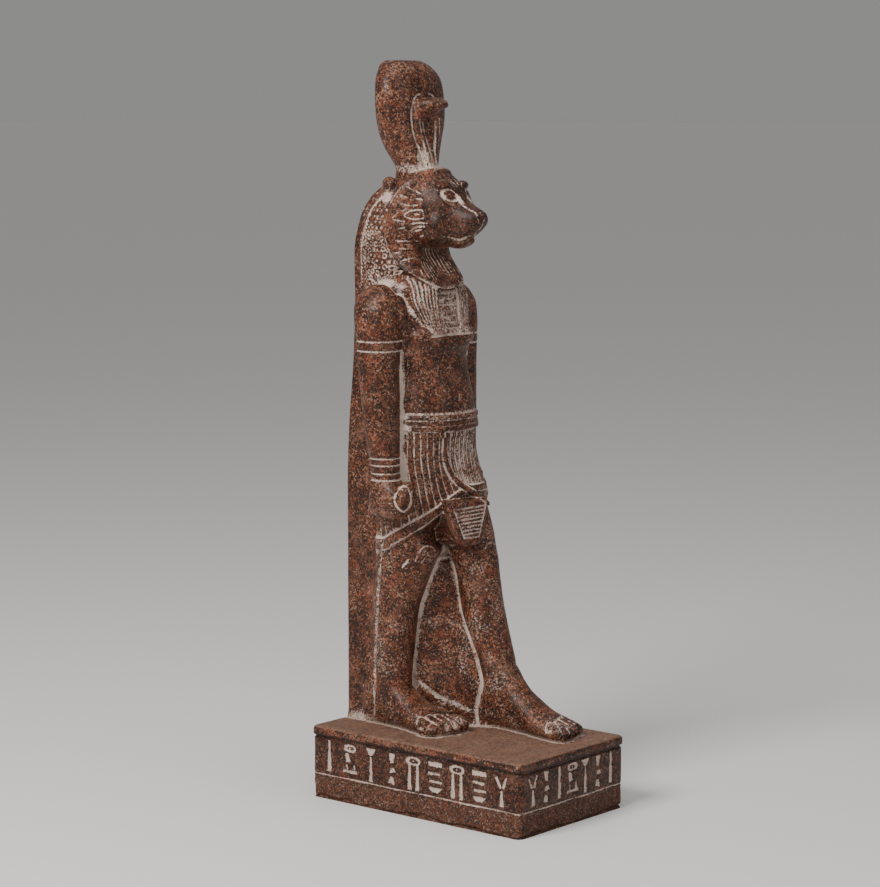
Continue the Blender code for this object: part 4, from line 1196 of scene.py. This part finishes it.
def carve_kilt(skin, normals):
    """Pleats by their phase round the skin, then the lines beside the hem and the flap's edge."""
    x, y, z = skin.points.T
    shares = np.linspace(0, 1, 46)
    grid = np.array([kilt_ring(share) for share in shares])
    tree = nearest_tree(grid.reshape(-1, 3))
    around = (z > HEM_LOWEST - 2) & (z < BELT_BOTTOM + 1) & (np.abs(x) < 42) & (y < 66) & (y > -4)
    near = np.flatnonzero(around)
    index, off = np.array([tree.find(spot)[1:] for spot in skin.points[near]]).T
    spots, index = near[off < 1.6], index[off < 1.6].astype(int)
    turn, row = index % KILT_COUNT, index // KILT_COUNT
    along = grid[row, (turn + 1) % KILT_COUNT] - grid[row, turn - 1]
    step = ((skin.points[spots] - grid[row, turn]) * along).sum(1) / (along**2).sum(1) * 2
    phase = (turn + step) / PLEAT_POINTS + 0.12 * skin.noise(spots, 16, 9)
    gap = np.linalg.norm(along, axis=1) / 2 * PLEAT_POINTS
    share = shares[row]
    edge = np.array(FLAP_EDGE)
    border, _ = distance_along(skin.points[spots][:, (0, 2)], edge)
    ahead = y[spots] < 24
    bare = ~(ahead & (border < 2.1))
    body = (share < HEM_SHARE - 0.02) & (normals[spots, 2] > -0.7)
    major = np.where(body & bare, np.abs(phase - np.round(phase)) * gap, 9)
    minor = np.where(body & bare, np.abs(phase - 0.5 - np.round(phase - 0.5)) * gap, 9)
    flap = ramp(x[spots] - np.interp(z[spots], *edge[::-1, ::-1].T), 1, 3) * ahead
    skin.sink(spots, 0.7 * ramp(0.95 - major, 0, 0.9) + (0.2 + 0.3 * flap) * ramp(0.6 - minor, 0, 0.6))
    worn = 0.78 + 0.4 * skin.noise(spots, 5, 10) + 0.2 * flap
    thick = 0.72 + 0.22 * skin.noise(spots, 9, 34)
    lines = np.maximum(ramp(thick - major, 0, 0.45), (0.2 + 0.7 * flap) * ramp(0.5 - minor, 0, 0.4))
    film = body * flap * (0.2 + 0.3 * skin.noise(spots, 3.5, 35))
    hem = np.interp(share, HEM_SHARE + np.array((-0.035, -0.015, 0, 0.01)), (0, 1, 1, 0))
    foot = ramp(share, 0.975, 0.99) * (0.75 + 0.4 * skin.noise(spots, 5, 25))
    skin.paint("chalk", spots, worn * lines)
    for amount in (film, 0.95 * hem, foot):
        skin.paint("chalk", spots, bare * amount)
    front = (y < 16) & (z > 196) & (z < 256) & (normals[:, 1] < 0)
    run = np.gradient(edge, axis=0)
    across = np.column_stack([run[:, 1], -run[:, 0]]) / np.linalg.norm(run, axis=1)[:, None]
    cut(skin, front, FRONT, edge + across * 2.1, 1.3, 0.4, 1, 0.2)
    cut(skin, front, FRONT, edge - across * 2.1, 1.1, 0.4, 0.8, 0.2)


# Carved lines of the belt: height, width and chalk
BELT_LINES = ((266.2, 1.3, 0.7), (261.6, 1, 0.65), (257.9, 0.9, 0.55), (253.9, 1.1, 0.6))


def carve_belt(skin, normals):
    x, y, z = skin.points.T
    arm = np.hypot(np.abs(x) - ARM_X, y - np.where(x < 0, arm_y(-1), arm_y(1)) + 3) < 14.5
    ring = (np.abs(x) < 36) & (y < 62) & (z > 250) & (z < 270) & ~arm
    for height, width, fill in BELT_LINES:
        spots = np.flatnonzero(ring & (np.abs(z - height) < 1.6))
        off = np.abs(z[spots] - height) + 0.15 * skin.noise(spots, 3, 11)
        skin.sink(spots, 0.35 * ramp(width * 0.8 - off, 0, 0.7))
        worn = 0.9 + 0.4 * skin.noise(spots, 6, 36)
        skin.paint("chalk", spots, fill * worn * ramp(width * 0.8 - off, 0, 0.5))


# The tab's outline below its top edge, as X and height
PANEL = ((18.4, 203.4), (7.4, 182), (-8.4, 182.6), (-16.6, 204.4))


def carve_apron(skin, normals):
    x, y, z = skin.points.T
    tab = (z > 176) & (z < 211) & (y < 4) & (normals[:, 1] < -0.4) & (np.abs(x) < 22)
    for line in zip(PANEL, PANEL[1:]):
        cut(skin, tab, FRONT, line, 1.5, 0.6, 1, 0.1)
    for k in range(8):
        height = 184.9 + 2.45 * k
        share = (height - 182.3) / 22
        bar = ((-8.4 - 8.2 * share, height), (7.4 + 11 * share, height - 0.2))
        cut(skin, tab, FRONT, bar, 1.35, 0.55, 0.95, 0.2)
    edge = (z > 178) & (z < 204) & (x > 8) & (x < 21) & (y < 6) & (y > -8)
    skin.paint("chalk", edge & (normals[:, 0] > 0.45), 0.75)


# Each knee: its side, its middle and its chalk. Its two lines from the front are X off the middle and height
KNEES = ((-1, -18, 0.75), (1, 22, 0.35))
KNEE_ARCH = ((7.4, 166), (6.6, 171.5), (3, 175.2), (-3, 175.6), (-6.6, 172))
KNEE_HOOK = ((3.6, 164.5), (0.2, 169.6), (-3.4, 167.4))
# Where the two seams beside the stone between the legs meet
WEB_TIP = (6, 25.5, 171.5)
# The band of chalk from the back leg's ankle to the front foot
INSTEP = (
    (-7.7, 35.5, 79.8), (-4.9, 31.1, 75.1), (-1.8, 26.6, 70.7), (1.9, 20.7, 67.4), (5.6, 14.7, 64.9),
    (10.3, 6.7, 60.6),
)
# The groove between the back leg and the pillar in the right quarter plane, from the hem to the plinth
CALF_LINE = ((-56.8, 180), (-58.7, 161.5), (-60, 146), (-60.8, 130), (-61.7, 115), (-62.8, 84), (-63.6, 51))


def carve_foot(skin, normals, side, centre, tip):
    """The gaps between the toes, their nails and roots, and a mark on the side of the foot."""
    x, y, z = skin.points.T
    low = z < PLINTH_TOP + 14
    five = list(toes(side, centre, tip))
    for (xa, ya, *_), (xb, yb, *_) in zip(five, five[1:]):
        middle = (xa + xb) / 2 + (0.5 * side if xa == five[0][0] else 0)
        back = (ya + yb) / 2
        between = low & (np.abs(x - middle) < 3) & (normals[:, 2] > -0.2)
        gap = ((middle, back - 10), (middle, back), (middle - 0.2 * side, back + 7))
        cut(skin, between, TOP, gap, 1.8, 1.2, 0.75, 0.5)
    upper = low & (normals[:, 2] > 0.1)
    for xt, yt, half, _, length in five:
        wide, near, far = half * 0.62, yt - length * 0.38, yt - length * 0.22
        arc = ((xt - wide, near), (xt - wide * 0.8, far), (xt + wide * 0.8, far), (xt + wide, near))
        nail = upper & (np.abs(x - xt) < half) & (y < yt - length * 0.12)
        cut(skin, nail, TOP, arc, 0.8, 0.3, 0.75)
        loop = (
            (xt - half * 0.9, yt + 1),
            (xt - half * 0.7, yt + length * 0.42),
            (xt + half * 0.6, yt + length * 0.46),
            (xt + half * 0.9, yt + 1.5),
        )
        root = upper & (np.abs(x - xt) < half + 1) & (np.abs(y - yt - length * 0.4) < 6)
        cut(skin, root, TOP, loop, 1.3, 0.5, 0.9, 0.4)
    flank = (z < 74) & (z > 62) & (np.sign(x) == side) & sideways(normals)
    cut(skin, flank, SIDE, ((tip + 60, 70), (tip + 57.5, 66.8), (tip + 54.5, 69.4)), 0.9, 0.35, 0.6)


def carve_legs(skin, normals):
    x, y, z = skin.points.T
    for side, centre, fill in KNEES:
        knee = (z > 156) & (z < 181) & (np.abs(x - centre) < 15) & (normals[:, 1] < -0.3)
        cut(skin, knee, FRONT, mirrored(KNEE_ARCH, side) + (centre, 0), 1.5, 0.6, fill + 0.2)
        cut(skin, knee, FRONT, mirrored(KNEE_HOOK, side) + (centre, 0), 1.2, 0.5, fill)
    rear = [(row[1], row[2], row[0]) for row in LEG_WEB[:-2]] + [WEB_TIP]
    ahead = [(row[3], row[4], row[0]) for row in LEG_WEB[:-2]] + [WEB_TIP]
    apart = (y < 60) & (z < 174)
    cut(skin, apart & (x < 8), SPACE, rear, 5, 0.5, 1.1, 0.3)
    cut(skin, apart & (x > 4), SPACE, ahead, 3.6, 0.5, 1, 0.3)
    wash(skin, apart & (y < 30), (5.4, 24, 168), (5, 8, 8), 1)
    wash(skin, (z < 195) & (y < 34) & (y > 4), (3.5, 20, 179), (6, 14, 11), 1)
    cut(skin, (x > -12) & (x < 13) & (z < 84), SPACE, INSTEP, 4.2, 0.3, 0.95, 0.5)
    beside = (x < -20) & (z < 181) & (y > 38) & (y < 75) & (normals[:, 0] < 0.1)
    cut(skin, beside, quarter(-1), CALF_LINE, 2.2, 0.9, 0.6, 0.2)
    wash(skin, z < PLINTH_TOP + 12, (-24, 72, PLINTH_TOP), (14, 26, 11), 0.75)
    calf = (z > 155) & (z < 172) & (x < -24) & (y < 36)
    cut(skin, calf, SIDE, ((27, 167.6), (30.8, 162)), 1.9, 0.5, 0.9, 0.6)
    for side, centre, tip in FEET:
        carve_foot(skin, normals, side, centre, tip)


# Lines of the cobra's hood, and the groove round it in the disc, on the figure's left, as X and height
HOOD_EDGE = ((4.6, 431), (5.4, 437), (8, 446), (9.8, 454), (9.9, 461))
HOOD_HOLLOW = ((2.2, 430), (2.4, 440), (5.4, 451), (6.6, 459))
HOOD_GROOVE = (
    (6.6, 429), (7.6, 438), (10.6, 446), (13.4, 454), (14.2, 462), (13.2, 469), (9.8, 475.6), (4, 478),
)


def carve_disc(skin, normals):
    x, y, z = skin.points.T
    hood = (z > 428) & (z < 467) & (y < 40) & (normals[:, 1] < -0.2)
    around = (z > 426) & (z < 480) & (y > 28) & (y < 42) & (np.abs(x) > 4)
    for side in (-1, 1):
        cut(skin, hood, FRONT, mirrored(HOOD_EDGE, side), 1.2, 0.5, 0.9, 0.3)
        cut(skin, hood, FRONT, mirrored(HOOD_HOLLOW, side), 2.2, 0.8, 1, 0.5)
        cut(skin, around, FRONT, mirrored(HOOD_GROOVE, side), 1.7, 0.6, 1, 0.2)
    for k in range(5):
        cut(skin, hood, FRONT, ((-1.5, 440 + 4.6 * k), (1.5, 440 + 4.6 * k)), 1, 0.4, 0.7)
    neck = (z > 418) & (z < 440)
    wash(skin, neck, (0, 40, 428.5), (26, 26, 7.5), 0.95)
    wash(skin, neck & (y < 40), (-7, 33, 436), (6, 8, 14), 0.8)


def carve_figure(skin):
    normals = skin.normals()
    head = (carve_mane, carve_wig, carve_face, carve_disc)
    body = (carve_chest, carve_arms, carve_kilt, carve_belt, carve_apron, carve_legs)
    for step in head + body:
        step(skin, normals)


# Carving of the plinth: rows of strokes, none of them a letter

# Each stroke: across and up from the group's middle, foot width, head width, height, lean in degrees
POST = ((0, 0, 2.4, 1.2, 19, 0),)
LEAF_AND_LEVEL = (
    (-2, 1.5, 3, 2, 5, 12),
    (0, -7.5, 10, 9, 1.3, 0),
    (-2.6, -5, 1.2, 0.6, 3, 14),
    (3.4, -4.6, 1.2, 0.6, 3, -8),
)
FLARED = ((0, 7.6, 1.6, 6.5, 4, 0), (0, -3.2, 1.9, 0.8, 15, 0))
DROPS = ((0, 6.5, 2, 4, 5.5, 0), (0.6, -1, 4, 2, 2.4, 8), (-0.3, -7.5, 3.8, 2, 3.6, -10))
LEAF_ON_POSTS = ((-3.2, -3, 2.6, 1.2, 15, 0), (3.2, -3, 2.2, 1.2, 15, 0))
LEVELS = ((0, 8, 9, 9, 2.4, 0), (-0.6, 2, 8, 8, 1.2, 0), (0.6, -2.8, 8, 8, 1.2, 0), (0, -8, 4, 9, 2.6, 0))
FORKED = ((-2.4, 4.5, 1.4, 1, 7, 28), (2.2, 5, 1.4, 1, 7, -22), (0, -4.6, 2.4, 1.2, 9.5, 0))
LONG_ROW = (POST, LEAF_AND_LEVEL, FLARED, DROPS, LEAF_ON_POSTS, LEVELS, LEAF_ON_POSTS, LEVELS, FORKED)
FRONT_ROW = (FORKED, DROPS, POST, LEAF_AND_LEVEL, FLARED, DROPS, POST)
LONG_PITCH = 18.8
FRONT_PITCH = 14
# Rimmed leaves over some groups: half width and half height
LEAVES = {LEAF_AND_LEVEL: (4.4, 1.9), LEAF_ON_POSTS: (5.2, 2.2)}


def marks(skin, where, groups, pitch, across, way):
    """A row of stroke groups on the points that where picks, read along an axis in the direction way."""
    u, v = skin.points[:, across] * way, skin.points[:, 2]
    middle = (INCISED_LINE + PLINTH_TOP - LIP_HEIGHT) / 2 + 0.2
    chosen = np.flatnonzero(where & (v > INCISED_LINE) & (v < PLINTH_TOP - LIP_HEIGHT + 1))
    wobble = 0.3 * skin.noise(chosen, 2.2, 12) + 0.16 * skin.noise(chosen, 1.1, 38)
    deep = np.zeros(len(chosen))
    for k, group in enumerate(groups):
        centre = (k - (len(groups) - 1) / 2) * pitch
        for over, up, foot, head, height, lean in np.array(group) * (1.1, 1.08, 1.25, 1.25, 1.12, 1):
            a = math.radians(lean)
            du, dv = u[chosen] - centre - over, v[chosen] - middle - up
            x, y = du * math.cos(a) + dv * math.sin(a), dv * math.cos(a) - du * math.sin(a)
            half = (foot + (head - foot) * np.clip(y / height + 0.5, 0, 1)) / 2
            inside = np.minimum(half - np.abs(x), height / 2 - np.abs(y))
            deep = np.maximum(deep, ramp(inside + wobble, -0.65, 0.2))
        if group in LEAVES:
            half, high = LEAVES[group]
            du, dv = (u[chosen] - centre) / half, (v[chosen] - middle - 8) / high
            rim = np.abs(np.hypot(np.abs(du) ** 1.4, dv) - 1) * high
            deep = np.maximum(deep, ramp(0.75 - rim + wobble, -0.3, 0.3))
            deep = np.maximum(deep, ramp(0.9 - np.hypot(du * half, dv * high), 0, 0.4))
    skin.sink(chosen, MARK_DEPTH * deep)
    skin.paint("chalk", chosen, deep * (1.05 + 0.3 * skin.noise(chosen, 4.5, 13)))


def carve_plinth(skin):
    normals = skin.normals()
    x, y, z = skin.points.T
    half_wide, half_long, lip = PLINTH_WIDTH / 2, PLINTH_LENGTH / 2, PLINTH_TOP - LIP_HEIGHT
    upright = np.abs(normals[:, 2]) < 0.8
    front = upright & (y < 4 - half_long) & (np.abs(x) < half_wide - 3)
    marks(skin, front, FRONT_ROW, FRONT_PITCH, 0, 1)
    for side in (-1, 1):
        flank = upright & (side * x > half_wide - 4) & (np.abs(y) < half_long - 3)
        marks(skin, flank, LONG_ROW, LONG_PITCH, 1, side)
    line = np.flatnonzero(upright & (np.abs(z - INCISED_LINE) < 2.5))
    off = np.abs(z[line] - INCISED_LINE - 0.35 * skin.noise(line, 20, 14))
    skin.sink(line, 0.7 * ramp(0.8 - off, 0, 0.8))
    thin = 0.62 + 0.22 * skin.noise(line, 9, 37)
    skin.paint("chalk", line, (0.95 + 0.5 * skin.noise(line, 8, 15)) * ramp(thin - off, 0, 0.4))
    # Painted shade on the sunk band of strokes, darkest just under the lip's overhang
    sunk = upright & (z > INCISED_LINE + 0.5) & (z < lip + 1.5)
    skin.paint("painted_shade", sunk, 0.55 + 0.4 * ramp(z[sunk], lip - 3.5, lip))
    # Painted shade on the plinth's front, and a little on the band below the line all round
    skin.paint("painted_shade", front, 0.5)
    skin.paint("painted_shade", upright & (z < INCISED_LINE - 1), 0.3)
    gap = np.abs(z - PLINTH_TOP + LIP_HEIGHT + 0.6)
    under = np.flatnonzero(upright & (gap < 1.6))
    skin.sink(under, 0.9 * ramp(1.3 - gap[under], 0, 0.9))
    worn = ramp(skin.noise(under, 14, 16), 0, 0.5)
    skin.paint("chalk", under, 0.3 * worn * ramp(0.7 - gap[under], 0, 0.4))
    # The rough band under the line, broken along its lower edge
    rough = ramp(INCISED_LINE - 1.2 - z, 0, 1.5)
    coarse = skin.noise(ALL, 7, 17) + 0.5 * skin.noise(ALL, 3, 18)
    skin.lift -= upright * rough * (0.2 + 0.4 * coarse)
    foot = ramp(2.8 + 2.8 * noise(skin.points * (1, 1, 0), 11, 19) - z, 0, 2.2)
    skin.lift -= upright * foot * 1.8
    skin.paint("wear", ALL, rough)
    # Nicks along the top's edge
    side = np.maximum(np.abs(x) / half_wide, np.abs(y) / half_long)
    edge = ramp(side, 0.97, 0.995) * ramp(z, PLINTH_TOP - 2.5, PLINTH_TOP - 0.5)
    nicks = ramp(skin.noise(ALL, 6, 20) + 0.35 * skin.noise(ALL, 2.4, 21), 0.62, 0.95)
    skin.lift -= edge * nicks * 0.9
    skin.paint("dust", ALL, (normals[:, 2] > 0.7) & (z > PLINTH_TOP - 2))


# Stone: grains of several colours in the stone's own space, with what the fields ask for over them


class Graph:
    """Shorthand for a material's nodes."""

    def __init__(self, name):
        self.material = bpy.data.materials.new(name)
        self.material.use_nodes = True
        self.nodes = self.material.node_tree.nodes
        self.links = self.material.node_tree.links
        self.shader = self.nodes["Principled BSDF"]

    def add(self, kind, inputs=(), **settings):
        node = self.nodes.new(kind)
        for key, value in settings.items():
            setattr(node, key, value)
        for key, value in inputs:
            self.feed(node, key, value)
        return node

    def feed(self, node, key, value):
        if isinstance(value, bpy.types.NodeSocket):
            self.links.new(value, node.inputs[key])
        else:
            node.inputs[key].default_value = value

    def math(self, operation, a, b):
        return self.add("ShaderNodeMath", ((0, a), (1, b)), operation=operation).outputs[0]

    def times(self, a, b):
        return self.math("MULTIPLY", a, b)

    def steps(self, value, stops, mode="LINEAR"):
        """A colour ramp: each stop is its place and its colour or grey."""
        node = self.add("ShaderNodeValToRGB", ((0, value),))
        node.color_ramp.interpolation = mode
        bands = node.color_ramp.elements
        while len(bands) < len(stops):
            bands.new(0.5)
        for band, (place, colour) in zip(bands, stops):
            band.position = place
            band.color = (*colour, 1) if isinstance(colour, tuple) else (colour, colour, colour, 1)
        return node.outputs[0]

    def blend(self, share, a, b, mode="MIX"):
        node = self.add("ShaderNodeMix", data_type="RGBA", blend_type=mode)
        for key, value in ((0, share), (6, a), (7, b)):
            if isinstance(value, tuple):
                value = (*value, 1)
            self.feed(node, key, value)
        return node.outputs[2]

    def texture(self, kind, space, size, inputs=()):
        """One of Blender's textures with features of about size millimetres."""
        return self.add(kind, (("Vector", space), ("Scale", 1 / (size * MM)), *inputs)).outputs

    def noise(self, space, size, detail=2):
        return self.texture("ShaderNodeTexNoise", space, size, (("Detail", detail),))[0]

    def cells(self, space, size):
        """Three random values for each cell."""
        colour = self.texture("ShaderNodeTexVoronoi", space, size)["Color"]
        return self.add("ShaderNodeSeparateColor", ((0, colour),)).outputs

    def vectors(self, operation, a, key, b):
        return self.add("ShaderNodeVectorMath", ((0, a), (key, b)), operation=operation).outputs[0]


GRAIN = 1.15
BLACK = (0.012, 0.009, 0.009)
SOOT = (0.03, 0.016, 0.012)
UMBER = (0.06, 0.024, 0.014)
RUST = (0.105, 0.036, 0.018)
BRICK = (0.165, 0.055, 0.026)
EMBER = (0.26, 0.095, 0.045)
ROSE = (0.3, 0.18, 0.13)
FLINT = (0.05, 0.035, 0.03)
QUARTZ = (0.34, 0.26, 0.22)
GRAIN_COLOURS = (BLACK, SOOT, UMBER, RUST, BRICK, EMBER, ROSE)
CHALK = (0.56, 0.455, 0.395)


def stone_material():
    g = Graph("granite")
    space = g.add("ShaderNodeTexCoord").outputs["Object"]
    warp = g.texture("ShaderNodeTexNoise", space, 1.3, (("Detail", 2),))["Color"]
    shift = g.vectors("SUBTRACT", warp, 1, (0.5, 0.5, 0.5))
    bent = g.vectors("ADD", space, 1, g.vectors("SCALE", shift, "Scale", 1.6 * MM))
    coarse = g.cells(bent, GRAIN)
    fine = g.cells(bent, 0.75)

    # The grains, and wide ruddy and pale patches over them
    tone = g.math("ADD", coarse[0], g.times(g.math("SUBTRACT", g.noise(space, 13, 4), 0.5), 1.25))
    shades = tuple(zip((0, 0.17, 0.35, 0.53, 0.71, 0.86, 0.965), GRAIN_COLOURS))
    grains = g.steps(tone, shades, "CONSTANT")
    softer = g.steps(g.noise(space, 2.4, 4), ((0.3, SOOT), (0.48, UMBER), (0.62, BRICK), (0.76, EMBER)))
    colour = g.blend(0.25, grains, softer)
    ruddy = g.steps(g.noise(space, 8.5, 3), ((0.5, 0), (0.66, 0.65)))
    colour = g.blend(ruddy, colour, g.blend(0.5, colour, (0.26, 0.062, 0.028)))
    pale = g.steps(g.noise(space, 17, 3), ((0.54, 0), (0.7, 0.3)))
    colour = g.blend(pale, colour, (0.27, 0.15, 0.105))
    colour = g.blend(g.steps(fine[1], ((0, 0), (0.8, 1)), "CONSTANT"), colour, BLACK)
    colour = g.blend(g.steps(fine[2], ((0, 0), (0.955, 0.8)), "CONSTANT"), colour, ROSE)

    # What the fields ask for: a broken face, dust, painted shade and chalk
    fields = [g.add("ShaderNodeAttribute", attribute_name=name).outputs["Fac"] for name in FIELDS]
    chalk, dust, wear, painted_shade = fields
    crystals = ((0, FLINT), (0.3, UMBER), (0.55, BRICK), (0.8, EMBER), (0.9, QUARTZ))
    broken = g.times(wear, g.steps(g.noise(space, 2.6, 3), ((0.4, 0.25), (0.62, 0.85))))
    colour = g.blend(broken, colour, g.steps(fine[0], crystals, "CONSTANT"))
    settled = g.times(dust, g.steps(g.noise(space, 2.2, 4), ((0.35, 0.25), (0.62, 0.8))))
    colour = g.blend(settled, colour, (0.205, 0.122, 0.086))
    # Painted shade: the colour darkened towards umber where the shade field asks for it
    colour = g.blend(g.times(painted_shade, 0.75), colour, g.blend(1, colour, UMBER, "MULTIPLY"))
    low = g.math("SUBTRACT", chalk, g.times(g.math("SUBTRACT", g.noise(space, 1.3, 5), 0.45), 2))
    share = g.times(g.steps(low, ((0.25, 0), (0.75, 1))), 0.93)
    stain = g.blend(g.steps(g.noise(space, 3.1, 3), ((0.4, 0), (0.7, 0.4))), CHALK, (0.33, 0.2, 0.145))
    g.feed(g.shader, "Base Color", g.blend(share, colour, stain))

    polish = g.steps(g.noise(space, 5, 3), ((0.3, 0.34), (0.7, 0.5)))
    dull = g.math("MAXIMUM", g.times(share, 0.9), g.times(dust, 0.62))
    dull = g.math("MAXIMUM", dull, g.times(wear, 0.7))
    g.feed(g.shader, "Roughness", g.math("MAXIMUM", polish, dull))
    g.feed(g.shader, "Specular IOR Level", 0.22)
    pits = g.math("ADD", g.times(g.noise(space, 1.1, 4), 0.6), g.times(coarse[1], 0.25))
    depth = g.math("ADD", pits, g.times(g.noise(space, 6), 0.8))
    bump = g.add("ShaderNodeBump", (("Strength", 0.5), ("Distance", 0.22 * MM), ("Height", depth)))
    g.feed(g.shader, "Normal", bump.outputs[0])
    return g.material


# The two skins


def weather(skin):
    """Chalk left in the hollows, with more of it in the deep ones."""
    left = ramp(skin.hollow(3), 0.05, 0.17) * 0.55 + ramp(skin.hollow(10), 0.25, 0.85) * 0.6
    skin.paint("chalk", ALL, np.clip(left, 0, 0.9))


def shade(skin):
    """Painted shade on the trunk and along the pillar, and a thin pale chalk film on the legs and feet that
    also brightens them as painted light.
    """
    _, y, z = skin.points.T
    uneven = 0.8 + 0.5 * skin.noise(ALL, 14, 39)
    trunk = ramp(z, 215, 240) * ramp(325 - z, 0, 12) * ramp(60 - y, 0, 6)
    back = ramp(y, 66, 74) * ramp(z, 52, 60)
    # Painted shade on the trunk and the pillar
    skin.paint("painted_shade", ALL, uneven * np.maximum(0.32 * trunk, 0.36 * back))
    # Pale chalk flecks on the legs and feet, partly real chalk and partly painted light brightening them
    patches = ramp(skin.noise(ALL, 10, 40), -0.2, 0.7)
    skin.paint("chalk", ALL, 0.36 * patches * ramp(200 - z, 0, 20) * ramp(66 - y, 0, 6))


def build_figure(stone):
    skin = Skin("statue_figure", figure_forms())
    skin.smooth(2)
    carve_figure(skin)
    skin.press()
    weather(skin)
    shade(skin)
    skin.paint("chalk", ALL, 0.75 * ramp(PLINTH_TOP + 3 - skin.points[:, 2], 0, 2.4))
    skin.lift += 0.1 * skin.noise(ALL, 9, 22) + 0.05 * skin.noise(ALL, 3, 23)
    skin.press()
    tree = BVHTree.FromPolygons((skin.points * MM).tolist(), [tuple(p.vertices) for p in skin.mesh.polygons])
    skin.finish(stone)
    return tree


def build_plinth(stone, figure):
    skin = Skin("statue_plinth", plinth_forms())
    skin.smooth(2)
    carve_plinth(skin)
    skin.press()
    skin.lift += 0.12 * skin.noise(ALL, 9, 24)
    # Chalk on the plinth's top close to the figure
    for k in np.flatnonzero(skin.points[:, 2] > PLINTH_TOP - 1):
        found = figure.find_nearest(Vector(skin.points[k] * MM), 4 * MM)
        if found[0] is not None:
            skin.paint("chalk", k, 0.9 * ramp(3.4 - found[3] / MM, 0, 2.2))
    skin.press()
    skin.finish(stone)


stone = stone_material()
figure_tree = build_figure(stone)
build_plinth(stone, figure_tree)


# Floor, light and camera

floor_mesh = bpy.data.meshes.new("floor")
corners = [(x * FLOOR_HALF, y * FLOOR_HALF, 0) for x, y in ((-1, -1), (1, -1), (1, 1), (-1, 1))]
floor_mesh.from_pydata(corners, [], [(0, 1, 2, 3)])
floor = bpy.data.objects.new("floor", floor_mesh)
bpy.context.scene.collection.objects.link(floor)
floor_graph = Graph("pale_floor")
floor_graph.shader.inputs["Base Color"].default_value = (0.765, 0.757, 0.749, 1)
floor_graph.shader.inputs["Roughness"].default_value = 0.6
floor_mesh.materials.append(floor_graph.material)

world = bpy.data.worlds.new("studio")
world.use_nodes = True
sky = world.node_tree
aim = sky.nodes.new("ShaderNodeTexCoord").outputs["Generated"]
split = sky.nodes.new("ShaderNodeSeparateXYZ")
sky.links.new(aim, split.inputs[0])
fade = sky.nodes.new("ShaderNodeValToRGB")
sky.links.new(split.outputs["Z"], fade.inputs[0])
for band, grey in zip(fade.color_ramp.elements, (0.69, 1)):
    band.color = (grey, grey * 0.99, grey * 0.98, 1)
sky.links.new(fade.outputs[0], sky.nodes["Background"].inputs["Color"])
sky.nodes["Background"].inputs["Strength"].default_value = 0.4
bpy.context.scene.world = world


def soft_light(name, azimuth, elevation, distance, size, power, colour):
    """A square lamp aimed at the statue's middle, its azimuth from the front towards the figure's left."""
    a, e = math.radians(azimuth), math.radians(elevation)
    way = Vector((math.sin(a) * math.cos(e), -math.cos(a) * math.cos(e), math.sin(e)))
    lamp = bpy.data.lights.new(name, "AREA")
    lamp.shape = "SQUARE"
    lamp.size = size
    lamp.energy = power
    lamp.color = colour
    holder = bpy.data.objects.new(name, lamp)
    holder.location = LIT_MIDDLE + distance * way
    holder.rotation_euler = (LIT_MIDDLE - holder.location).to_track_quat("-Z", "Y").to_euler()
    bpy.context.scene.collection.objects.link(holder)


soft_light("key", -92, 38, 1.6, 0.7, 30, (1, 0.97, 0.93))
soft_light("fill", 5, 20, 1.8, 1, 5, (1, 0.98, 0.96))
soft_light("top", -40, 80, 1.7, 1, 7, (1, 1, 1))

a, p = math.radians(CAMERA_AZIMUTH), math.radians(CAMERA_PITCH)
right = Vector((math.cos(a), -math.sin(a), 0))
ahead = Vector((math.sin(a) * math.cos(p), math.cos(a) * math.cos(p), -math.sin(p)))
up = right.cross(ahead)
lens = bpy.data.cameras.new("camera")
lens.lens = CAMERA_LENS
lens.sensor_width = SENSOR_WIDTH
camera = bpy.data.objects.new("camera", lens)
spot = Vector((-math.sin(a) * CAMERA_DISTANCE, -math.cos(a) * CAMERA_DISTANCE, CAMERA_HEIGHT))
spot -= right * CAMERA_STEP
camera.matrix_world = Matrix.Translation(spot) @ Matrix((right, up, -ahead)).transposed().to_4x4()
bpy.context.scene.collection.objects.link(camera)
bpy.context.scene.camera = camera
